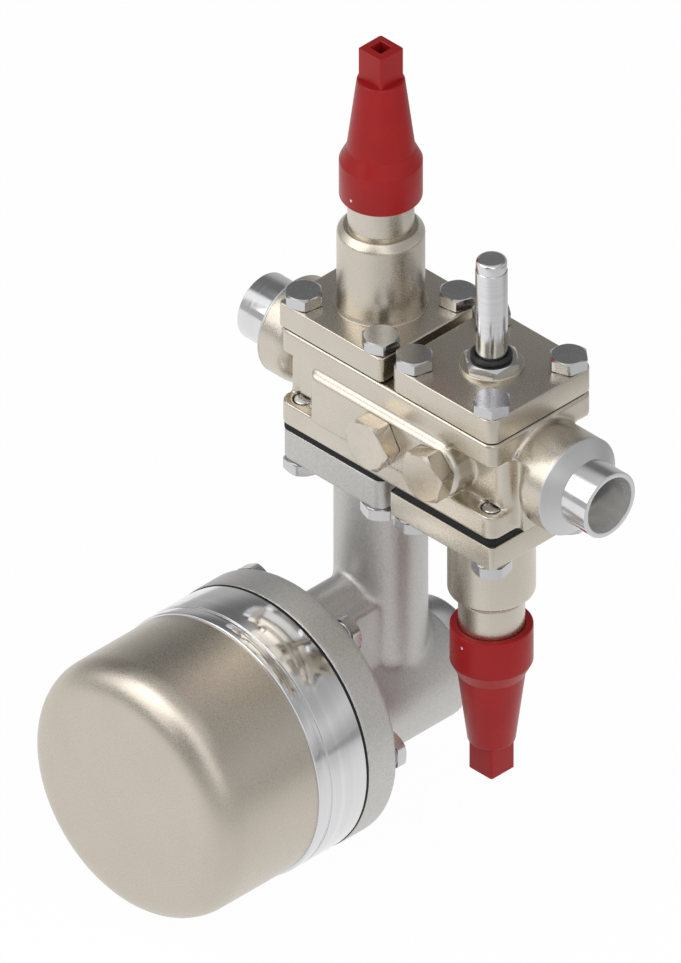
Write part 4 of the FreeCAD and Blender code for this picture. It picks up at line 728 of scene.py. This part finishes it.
class STATION_OT_housing(bpy.types.Operator):
    """Cast housing and its two machined weld ends"""

    bl_idname = "station.housing"
    bl_label = "Housing"

    def execute(self, context):
        low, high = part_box("housing")
        ends = {"inlet": facing_along(low.x, 1), "outlet": facing_along(high.x, -1)}
        block = merged_copy("housing")
        for place in ends.values():
            block = self.without_weld_end(block, place)
        block = joined(block, new_mesh(self.add_walls, "housing_walls"))
        block = self.cut(block, new_mesh(self.add_corner_space, "corner_space"))
        mesh = remeshed(block, "housing_casting", context)
        finish_piece("housing_casting", mesh, "cast_nickel", STATION, ["housing"], 60)
        for side, place in ends.items():
            self.make_weld_end(side, place)
        return {"FINISHED"}

    def add_walls(self, shape):
        """The slanting walls behind the four ledges, the flat waists and the ends of the tapped holes."""
        lip, wide, narrow = 15 * MM, 26.9 * MM, 19.5 * MM
        round_part = ring_points(26.7 * MM, range(-46, 47, 4))
        waist = [Vector((0, max(min(across, narrow), -narrow), -down)) for down, across in round_part]
        waist += [Vector((0, narrow, 0)), Vector((0, -narrow, 0))]
        bolt_offset = 25.5 * MM
        plug = [Vector((*point, 0)) for point in ring_points(6.2 * MM, range(0, 360, 15))]
        for centre, side in ((INLET_X, -1), (OUTLET_X, 1)):
            reaches = ((-10, wide), (15.9, wide), (23.3, narrow), (41.5, narrow))
            plan = [Vector((centre + side * reach * MM, half, 0)) for reach, half in reaches]
            plan += [Vector((point.x, -point.y, 0)) for point in plan[::-1]]
            add_prism(shape, plan, Vector((0, 0, -lip)), Vector((0, 0, lip)))
            add_prism(shape, waist, *[Vector((centre + side * reach * MM, 0, 0)) for reach in (30, 41.5)])
            for across, along in ((-1, -1), (-1, 1), (1, -1), (1, 1)):
                bolt = Vector((centre + along * bolt_offset, across * bolt_offset, 0))
                ring = [bolt + point for point in plug]
                add_prism(shape, ring, Vector((0, 0, -20 * MM)), Vector((0, 0, -14.9 * MM)))

    def without_weld_end(self, block, place):
        """The casting with a weld end taken off, and its bore widened for the turned one."""
        reach = in_mm([(0, -2), (40, -2), (40, 20.6), (15.3, 20.6), (15.3, 27), (0, 27)])
        return self.cut(block, new_mesh(lathed(reach), "weld_end_space", place))

    def add_corner_space(self, shape):
        """The open corner above the ledge at the front's left end."""
        plan = [Vector((x, y, 0)) * MM for x, y in ((43, -27.5), (66.5, -27.5), (66.5, -45), (43, -45))]
        add_prism(shape, plan, Vector((0, 0, -14.3 * MM)), Vector((0, 0, -3.9 * MM)))

    def cut(self, block, tool_mesh):
        """A mesh without the room that another mesh takes."""
        tool = put_in_scene("cutting_tool", tool_mesh)
        piece = put_in_scene("housing_block", block)
        cut = piece.modifiers.new("Cut", "BOOLEAN")
        cut.operation = "DIFFERENCE"
        cut.solver = "EXACT"
        cut.object = tool
        result = plain_mesh(piece, "housing_block")
        for helper in (piece, tool):
            bpy.data.objects.remove(helper)
        return result

    def make_weld_end(self, side, place):
        """The pipe land with its bore, and the cone behind it."""
        bore, outer, shoulder, rear = 14.25, 16.85, 15.4, 22.2
        land = rounded_profile([(bore, 0, 0.3), (outer, 0, 0.4), (outer, shoulder + 0.6),
                                (outer + 0.4, rear), (bore, rear)])
        lining = in_mm([(bore - 0.03, 0.5), (bore + 0.4, 0.5), (15.6, 22.1), (15.6, 26), (bore - 0.03, 26)])
        cone = rounded_profile([(outer - 1, shoulder - 0.02), (outer + 0.05, shoulder, 0.4), (25, 21.4, 0.5),
                                (25, 22.3, 0.1), (outer - 1, 22.3)])
        for name, outline, finish in (("_weld_end", land, "Chromed weld ends"),
                                      ("_pipe_bore", lining, "Satin bore"),
                                      ("_weld_cone", cone, "Turned cones")):
            make_piece(side + name, lathed(outline, 128), place, "turned_steel", finish=finish)


class STATION_OT_bonnets(bpy.types.Operator):
    """Bonnets of the two stop valves"""

    bl_idname = "station.bonnets"
    bl_label = "Bonnets"

    def execute(self, context):
        sizes = context.scene.station_stop_valve
        for side, place in stop_valve_places().items():
            make_piece(side + "_stop_bonnet_casting", lambda shape: self.build(shape, sizes), place,
                       "cast_nickel", nodes=[side + "_stop_bonnet"])
        return {"FINISHED"}

    def build(self, shape, sizes):
        """The plate, the boss, the tower and the threaded neck with its gland bore."""
        thickness, cavity, gland_bore = sizes.plate_thickness, 14, 12
        add_plate(shape, sizes.plate_half, 2.5 * MM, 0, thickness, 0.4 * MM, 0.9 * MM, cavity * MM)
        top, tower, neck = [size / MM for size in (thickness, sizes.tower_radius, sizes.neck_radius)]
        foot, step = tower + 1.5, top + 0.7
        outline = [(cavity, top - 1), (foot, top - 1), (foot, step, 0.4), (tower + 0.5, step),
                   (tower, step + 1.5, 0.8), (tower, 54, 2.5), (17.6, 57.4, 1), (neck - 0.7, 57.4),
                   (neck - 0.7, 58.6), (neck, 59.3, 0.3)]
        pitch, ridge, height = 1.5, 0.55, 76
        while height < 90:
            outline += [(neck, height, 0.15), (neck - ridge, height + pitch / 2, 0.15)]
            height += pitch
        outline += [(neck - 0.3, 91), (neck - 0.8, 92, 0.3), (gland_bore, 92, 0.3), (gland_bore, 31),
                    (cavity, 24)]
        add_lathe(shape, rounded_profile(outline), 128)


class STATION_OT_seals_and_seam_shade(bpy.types.Operator):
    """Black sheets between the housing and the two modules below it: the real gaskets, grown to fill the
    seam's gap out to near the plates' edges, in a near black that is painted shade for the shadowed seam
    """

    bl_idname = "station.seals"
    bl_label = "Lower seals"

    def execute(self, context):
        half, top = context.scene.station_stop_valve.plate_half - 0.7 * MM, -26.95 * MM
        for node, x, seam in (("outlet_stop_gasket", OUTLET_X, OUTLET_SEAM),
                              ("float_gasket", INLET_X, FLOAT_SEAM)):
            make_piece(node + "_sheet", lambda shape: self.build(shape, half, seam, top),
                       Matrix.Translation((x, 0, 0)), "gasket_sheet", nodes=[node])
        return {"FINISHED"}

    def build(self, shape, half, low, high):
        """A square sheet with a round hole."""
        low_loop, high_loop = square_loop(half, 5 * MM, low), square_loop(half, 5 * MM, high)
        hole = 20 * MM
        add_stack(shape, [low_loop, high_loop, drawn_in(low_loop, hole, high), drawn_in(low_loop, hole, low)],
                  True)


class STATION_OT_caps(bpy.types.Operator):
    """Red seal caps with their square keys"""

    bl_idname = "station.caps"
    bl_label = "Seal caps"

    def execute(self, context):
        sizes = context.scene.station_stop_valve
        # A small polished pin end, just proud of the collar where the cap has a seal-wire hole: it stands in
        # for the hole's white spot, a painted glint
        glint_pin = in_mm([(0, 18), (0.75, 18), (0.75, 19.7), (0.4, 19.95), (0, 20.05)])
        for side, place in stop_valve_places().items():
            make_piece(side + "_seal_cap", lambda shape: self.build(shape, sizes), place, "red_cap",
                       side + "_cap", nodes=[side + "_stop_cap"])
            level = place @ Vector((0, 0, sizes.cap_start + 5.5 * MM))
            make_piece(side + "_cap_pin", lathed(glint_pin, 24), facing_front(level.x, level.z), "red_cap",
                       side + "_cap", finish="Polished stem")
        return {"FINISHED"}

    def build(self, shape, sizes):
        """A hollow turned body, and a square key with its socket on top."""
        start, collar = sizes.cap_start / MM, sizes.collar_radius / MM
        taper_end, thread, gasket_top = start + 66.2, 15.82, 93.5
        outline = [(thread, start, 0.5), (collar, start, 0.9), (collar, start + 20.2, 0.9),
                   (16.1, start + 27.4, 2.2), (11.25, taper_end, 1.4), (0, taper_end + 0.2), (0, 140),
                   (6, 140, 0.5), (8.2, 138, 0.5), (12.4, 95.7, 0.5), (12.4, gasket_top),
                   (thread, gasket_top)]
        add_lathe(shape, rounded_profile(outline), 128)
        self.add_key(shape, taper_end * MM)

    def add_key(self, shape, low):
        """The square key: its corners are turned back at the tip, and its socket is open."""
        half, top, socket, depth = 7.6 * MM, 158.1 * MM, 3.6 * MM, 8 * MM
        edge = 0.35 * MM
        rim = half + 1.6 * MM

        def turned_back(loop, start, drop):
            """A loop at the tip, lower where it reaches past the start."""
            return [Vector((point.x, point.y, top - max(hypot(point.x, point.y) - start, 0) / 2 - drop))
                    for point in loop]

        side = square_loop(half, 1.0 * MM, top, 0.0, 6)
        lip = square_loop(half - edge, 0.8 * MM, top, 0, 6)
        mouth = square_loop(socket + edge, 0.5 * MM, top, 0, 6)
        throat = square_loop(socket, 0.4 * MM, top - 0.4 * MM, 0, 6)
        floor = square_loop(socket, 0.4 * MM, top - depth, 0, 6)
        add_stack(shape, [square_loop(half, 1.0 * MM, low - 3 * MM, 0.0, 6), turned_back(side, rim, edge),
                          turned_back(lip, rim - edge, 0), mouth, throat, floor])


class STATION_OT_solenoid(bpy.types.Operator):
    """Solenoid cover, armature tube, nut and O-ring"""

    bl_idname = "station.solenoid"
    bl_label = "Solenoid valve"

    def execute(self, context):
        place = upright(OUTLET_X, UPPER_SEAM)
        make_piece("solenoid_cover_casting", self.build_cover, place, "cast_nickel", nodes=["solenoid_cover"])
        tube = rounded_profile([(0, 8), (7.5, 8), (7.5, 20.9), (7.6, 20.9), (7.6, 67.7, 0.2),
                                (7.1, 67.7, 0.1), (7.1, 69.2, 0.1), (7.4, 69.2, 0.2), (7.4, 73.8, 1.8),
                                (0, 73.8)], 6)
        make_piece("armature_stem", lathed(tube), place, "polished_steel", nodes=["armature_tube"])
        make_piece("tube_hexagon", self.build_nut, place, "polished_steel", nodes=["tube_nut"], crease=20)
        section = arc_points((8.75 * MM, 19.65 * MM), 1.25 * MM, 0, 360, 20)[:-1]
        make_piece("rubber_ring", lathed(section), place, "black_rubber", nodes=["tube_ring"])
        return {"FINISHED"}

    def build_nut(self, shape):
        """The hexagon nut round the tube."""
        key, low, high, bevel = 24.4 * MM, 14.8 * MM, 18.4 * MM, 0.5 * MM
        add_hexagon_head(shape, key, low, high, bevel, radians(24), hollow=7.55 * MM)

    def build_cover(self, shape):
        """The square cover and its round boss."""
        add_plate(shape, 34 * MM, 6 * MM, 0, 13 * MM, 0.4 * MM, 0.9 * MM)
        boss = rounded_profile([(0, 12), (15.4, 12), (15.4, 14.8, 0.6), (0, 14.8)])
        add_lathe(shape, boss)


class STATION_OT_float_valve(bpy.types.Operator):
    """Float valve's casting, flange ring and can"""

    bl_idname = "station.float_valve"
    bl_label = "Float valve"

    def execute(self, context):
        casting = joined(merged_copy("float_casting"), new_mesh(self.add_web, "float_web"))
        mesh = remeshed(casting, "float_body_casting", context, 5)
        finish_piece("float_body_casting", mesh, "float_cast", STATION, ["float_casting"], 60)
        seal = in_mm([(52, 75.5), (67.7, 75.5), (67.7, 76.65), (52, 76.65)])
        plug = rounded_profile([(0, 22), (19.95, 22), (19.95, 29.5), (27, 29.5, 0.4), (27, 41.5, 1.6),
                                (6.6, 41.5, 0.4), (6.2, 34.5), (0, 34.5)])
        place = facing_front(INLET_X, FLOAT_AXIS_Z)
        make_piece("polished_flange_ring", self.build_ring, place, "polished_steel",
                   nodes=["flange_ring"], finish="Polished ring")
        make_piece("can_seal_sheet", lathed(seal, 192), place, "gasket_sheet", nodes=["can_gasket"])
        make_piece("drawn_float_can", self.build_can, place, "can_steel", nodes=["float_can"])
        make_piece("barrel_end_plug", lathed(plug, 128), facing_rear(INLET_X, BARREL_Z), "zinc_bolts",
                   nodes=["barrel_plug"])
        return {"FINISHED"}

    def add_web(self, shape):
        """The wall that joins the column, the barrel and the flange below the elbow."""
        half, round_edge, foot = 15.9 * MM, 5 * MM, BARREL_Z + 16 * MM
        crest = -113.5 * MM
        arch = [Vector((INLET_X + side * (half - round_edge + round_edge * sin(radians(turn))), 0,
                        crest - round_edge + round_edge * cos(radians(turn))))
                for side, turns in ((-1, range(90, -1, -15)), (1, range(0, 91, 15))) for turn in turns]
        arch += [Vector((INLET_X + half, 0, foot)), Vector((INLET_X - half, 0, foot))]
        add_prism(shape, arch, Vector((0, -58 * MM, 0)), Vector((0, -14.5 * MM, 0)))

    def build_ring(self, shape):
        """The flange ring with its bead groove."""
        outer, groove, front, back = 67.6, 66.8, 107.6, 76.6
        outline = [(52, back), (outer, back, 0.5), (outer, 99.2, 0.4), (groove, 99.2, 0.2),
                   (groove, 101.8, 0.2), (outer, 101.8, 0.4), (outer, front, 1.0), (62, front),
                   (62, 96.6), (52, 96.6)]
        add_lathe(shape, rounded_profile(outline), 192)

    def build_can(self, shape):
        """The drawn can with its rounded knuckle and slightly crowned end."""
        radius, wall, knuckle, crown = 66.5, 3, 18, 2.0
        start, straight = 107.5, 152.6
        reach, end, steps = radius - knuckle, straight + knuckle, 10
        outline = [(radius - wall, start), (radius, start)]
        outline += arc_points((reach, straight), knuckle, 0, 86, 18)
        outline += [(reach * (1 - step / steps), end + crown * sin(step / steps * pi / 2))
                    for step in range(1, steps)]
        outline += [(0, end + crown), (0, end + crown - wall), (reach, end - wall)]
        outline += arc_points((reach, straight), knuckle - wall, 80, 0, 8)
        add_lathe(shape, in_mm(outline), 192)


def bolt_tree(name, count_sockets, make_points):
    """A node tree that sets a head on each point and turns each by its own angle."""
    sockets = {"Geometry": "Geometry", "Head": "Object", "Finish": "Material", "Turn": "Float",
               "Seed": "Int", **count_sockets}
    tree, enter, leave = new_group(name, "GeometryNodeTree", sockets, {"Geometry": "Geometry"})
    head = add_node("GeometryNodeObjectInfo", {"Object": enter["Head"]}, "Geometry")
    limits = {2: times(enter["Turn"], -1.0), 3: enter["Turn"], "Seed": enter["Seed"]}
    angle = add_node("FunctionNodeRandomValue", limits, 1, data_type="FLOAT")
    spin = add_node("ShaderNodeCombineXYZ", {"Z": angle})
    heads = add_node("GeometryNodeInstanceOnPoints",
                     {"Points": make_points(enter), "Instance": head, "Rotation": spin})
    real = add_node("GeometryNodeRealizeInstances", {0: heads})
    painted = add_node("GeometryNodeSetMaterial", {"Geometry": real, "Material": enter["Finish"]})
    connect(painted, leave[0])
    return tree


def square_points(enter):
    """The four corners of a square."""
    width = enter["Width"]
    return add_node("GeometryNodeMeshGrid",
                    {"Vertices X": 2, "Vertices Y": 2, "Size X": width, "Size Y": width}, "Mesh")


def circle_points(enter):
    """Evenly spaced points of a circle."""
    return add_node("GeometryNodeMeshCircle", {"Vertices": enter["Count"], "Radius": enter["Radius"]},
                    "Mesh")


class STATION_OT_bolts(bpy.types.Operator):
    """Hexagon bolts of the four modules and of the float can"""

    bl_idname = "station.bolts"
    bl_label = "Bolts"

    def execute(self, context):
        sizes = context.scene.station_bolts
        square = bolt_tree("Bolts on a square", {"Width": "Float"}, square_points)
        ring = bolt_tree("Bolts on a circle", {"Count": "Int", "Radius": "Float"}, circle_points)
        modules = [("inlet_stop_bolts", upright(INLET_X, UPPER_SEAM), 13, 27.2),
                   ("solenoid_bolts", upright(OUTLET_X, UPPER_SEAM), 13, 27.2),
                   ("outlet_stop_bolts", hanging(OUTLET_X, OUTLET_SEAM), 13, 29.4),
                   ("float_bolts", hanging(INLET_X, FLOAT_SEAM), 17, 32.6)]
        for number, (node, place, seat, shank) in enumerate(modules):
            head = self.make_head(sizes, seat, shank)
            values = {"Width": 2 * sizes.spread, "Turn": radians(9), "Seed": sizes.seed + number}
            self.spread(node, head, place, square, values)
        head = self.make_head(sizes, -56.7, 34, 30)
        values = {"Count": 6, "Radius": sizes.circle, "Turn": 0.0, "Seed": sizes.seed}
        self.spread("can_bolts", head, facing_rear(INLET_X, FLOAT_AXIS_Z), ring, values)
        return {"FINISHED"}

    def make_head(self, sizes, seat, shank, turn=15):
        """One bolt: its hexagon head with a washer face, and its shank; seat and shank are in mm."""
        face, end = sizes.key / MM / 2 - 0.3, seat - shank
        washer = rounded_profile([(0, seat), (face, seat, 0.1), (face, seat + 0.5), (0, seat + 0.5)])
        bar = in_mm([(0, end), (4, end), (4.4, end + 0.4), (4.4, end + 2), (5, end + 2.6), (5, seat + 0.2),
                     (0, seat + 0.2)])

        def build(shape):
            low, bevel = (seat + 0.4) * MM, 0.4 * MM
            add_hexagon_head(shape, sizes.key, low, seat * MM + sizes.head, bevel, radians(turn))
            add_lathe(shape, washer, 48)
            add_lathe(shape, bar, 32)

        return put_in_scene("bolt_shape", new_mesh(build, "bolt_shape"))

    def spread(self, node, head, place, tree, values):
        """Run the node tree, keep its mesh and drop the helpers."""
        carrier = put_in_scene(node + "_carrier", bpy.data.meshes.new(node + "_carrier"))
        step = carrier.modifiers.new("Bolts", "NODES")
        step.node_group = tree
        values = dict(values, Head=head, Finish=bpy.data.materials["Zinc heads"])
        for item in tree.interface.items_tree:
            if item.in_out == "INPUT" and item.name in values:
                step[item.identifier] = values[item.name]
        mesh = plain_mesh(carrier, node + "_set")
        mesh.transform(place)
        for helper in (carrier, head):
            bpy.data.objects.remove(helper)
        finish_piece(node + "_set", mesh, "zinc_bolts", STATION, [node], 20)


class STATION_OT_port_plugs(bpy.types.Operator):
    """Hexagon plugs of the two side ports, with their seal rings"""

    bl_idname = "station.port_plugs"
    bl_label = "Port plugs"

    def execute(self, context):
        thread = in_mm([(0, -12), (6.7, -12), (8, -10.7), (8, 2), (0, 2)])
        ring = rounded_profile([(8.05, 0), (12.1, 0, 0.3), (12.1, 1.5, 0.5), (8.05, 1.5)])
        for side, turn in (("left", 0), ("right", 15)):
            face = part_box(side + "_port_seal")[1].y
            place = Matrix.Translation((0, face, 0)) @ facing_front(middle(side + "_port_seal").x, 0)

            def build(shape):
                add_hexagon_head(shape, 24.4 * MM, 0.3 * MM, 9.1 * MM, 0.4 * MM, radians(turn))
                add_lathe(shape, thread, 48)

            make_piece(side + "_hexagon_plug", build, place, "zinc_bolts",
                       nodes=[side + "_port_plug"], crease=20, finish="Plug nickel")
            make_piece(side + "_seal_washer", lathed(ring), place, "turned_steel",
                       nodes=[side + "_port_seal"], finish="Plug nickel")
        return {"FINISHED"}


class STATION_OT_stage(bpy.types.Operator):
    """Camera, lights, world and floor"""

    bl_idname = "station.stage"
    bl_label = "Stage"

    def execute(self, context):
        settings = context.scene.station_stage
        self.make_camera(context, settings)
        self.make_lights(settings)
        self.make_world(context, settings)
        self.make_floor(settings)
        context.scene.view_settings.view_transform = "Standard"
        return {"FINISHED"}

    def make_camera(self, context, settings):
        """An isometric view without perspective."""
        lens = bpy.data.cameras.new("view")
        lens.type = "ORTHO"
        lens.ortho_scale = settings.view_height
        lens.clip_start, lens.clip_end = 0.01, 10
        context.scene.camera = put_in_scene("view", lens)
        aim(context.scene.camera, Vector(settings.target), (1, -1, 1), 1.5)

    def make_lights(self, settings):
        """Large soft panels, out of the mirror directions of the level tops."""
        centre, distance = Vector((0.11, -0.05, -0.02)), 1.1
        panels = [("key", (-0.5, -1.0, 0.9), 0.9, 1.0), ("fill", (1.2, 0.2, 0.8), 0.9, 0.6),
                  ("front", (0.7, -1.1, 0.15), 0.7, 0.5)]
        for name, direction, width, share in panels:
            light = bpy.data.lights.new(name, "AREA")
            light.shape = "SQUARE"
            light.size = width
            light.energy = settings.key_power * share
            lamp = put_in_scene(name, light)
            lamp.visible_glossy = name == "key"
            aim(lamp, centre, direction, distance)

    def make_world(self, context, settings):
        """A white background, and a room with a dim ceiling and a bright strip high in front."""
        world = bpy.data.worlds.new("studio")
        world.use_nodes = True
        tree = world.node_tree
        tree.nodes.clear()
        right, depth, height = split_xyz(add_node("ShaderNodeTexCoord", {}, "Generated", tree))
        walls = ease(height, (0.1, 0.5), (0.55, settings.ceiling))
        zenith = ease(height, (0.7, 0.0), (0.9, 0.45))
        side = times(ease(right, (0.15, 0.0), (0.6, 0.3)),
                     ease(height, (0.0, 0.0), (0.3, 1.0)))
        strip = times(ease(depth, (-0.66, 0.0), (-0.5, 1.0)),
                      ease(depth, (-0.32, 1.0), (-0.16, 0.0)))
        strip = times(strip, ease(height, (0.15, 0.0), (0.4, settings.strip)))
        light = plus(plus(walls, zenith), plus(side, strip))
        white = (1, 1, 1, 1)
        mix_shaders(add_node("ShaderNodeLightPath", {}, "Is Camera Ray", tree),
                    add_node("ShaderNodeBackground", {0: white, "Strength": light}),
                    add_node("ShaderNodeBackground", {0: white}, tree=tree),
                    tree.nodes.new("ShaderNodeOutputWorld").inputs[0])
        context.scene.world = world

    def make_floor(self, settings):
        """A white floor under the can; reflections see it darker behind the station."""
        half, level = 3.0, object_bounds()[0][2] - 1 * MM
        mesh = bpy.data.meshes.new("floor")
        corners = [(-half, -half, level), (half, -half, level), (half, half, level), (-half, half, level)]
        mesh.from_pydata(corners, [], [(0, 1, 2, 3)])
        floor = put_in_scene("floor", mesh)
        material = bpy.data.materials.new("White floor")
        material.use_nodes = True
        tree = material.node_tree
        shader = tree.nodes["Principled BSDF"]
        shader.inputs["Base Color"].default_value = (0.95, 0.95, 0.95, 1)
        shader.inputs["Roughness"].default_value = 0.9
        shader.inputs["Specular IOR Level"].default_value = 0.0
        right, rear, _ = split_xyz(add_node("ShaderNodeTexCoord", {}, "Object", tree))
        camera, mirrored, through = [add_node("ShaderNodeLightPath", {}, "Is %s Ray" % kind, tree)
                                     for kind in ("Camera", "Glossy", "Transmission")]
        across = ease(right, (0.05, 0.98), (0.65, settings.floor_side))
        depth = ease(rear, (0.22, 1.0), (0.55, settings.floor_rear))
        glow = add_node("ShaderNodeEmission",
                        {"Strength": larger(camera, times(across, depth))})
        seen = larger(larger(camera, mirrored), through)
        mix_shaders(times(seen, 0.97), shader.outputs[0], glow,
                    tree.nodes["Material Output"].inputs[0])
        mesh.materials.append(material)
        floor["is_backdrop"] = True


OPERATORS = [STATION_OT_finishes, STATION_OT_housing, STATION_OT_bonnets, STATION_OT_seals_and_seam_shade, STATION_OT_caps,
             STATION_OT_solenoid, STATION_OT_float_valve, STATION_OT_bolts, STATION_OT_port_plugs,
             STATION_OT_stage]

SETTINGS = {"station_stage": StageSettings, "station_stop_valve": StopValveSizes,
            "station_bolts": BoltSizes, "station_casting": CastingSettings,
            "station_colours": FinishColours}


class STATION_PT_panel(bpy.types.Panel):
    """The station's pieces and sizes"""

    bl_idname = "STATION_PT_panel"
    bl_label = "Valve station"
    bl_space_type = "VIEW_3D"
    bl_region_type = "UI"
    bl_category = "Station"

    def draw(self, context):
        layout = self.layout
        for operator in OPERATORS:
            layout.operator(operator.bl_idname)
        for name, group in SETTINGS.items():
            box = layout.box()
            settings = getattr(context.scene, name)
            for key in group.__annotations__:
                box.prop(settings, key)


def register():
    """Register the classes and hang the settings on the scene."""
    for item in [*SETTINGS.values(), *OPERATORS, STATION_PT_panel]:
        bpy.utils.register_class(item)
    for name, group in SETTINGS.items():
        setattr(bpy.types.Scene, name, PointerProperty(type=group))


def unregister():
    """Undo register."""
    for name in SETTINGS:
        delattr(bpy.types.Scene, name)
    for item in reversed([*SETTINGS.values(), *OPERATORS, STATION_PT_panel]):
        bpy.utils.unregister_class(item)


def main():
    """Build the station."""
    register()
    for operator in OPERATORS:
        group, name = operator.bl_idname.split(".")
        getattr(getattr(bpy.ops, group), name)()


if __name__ == "__main__":
    main()
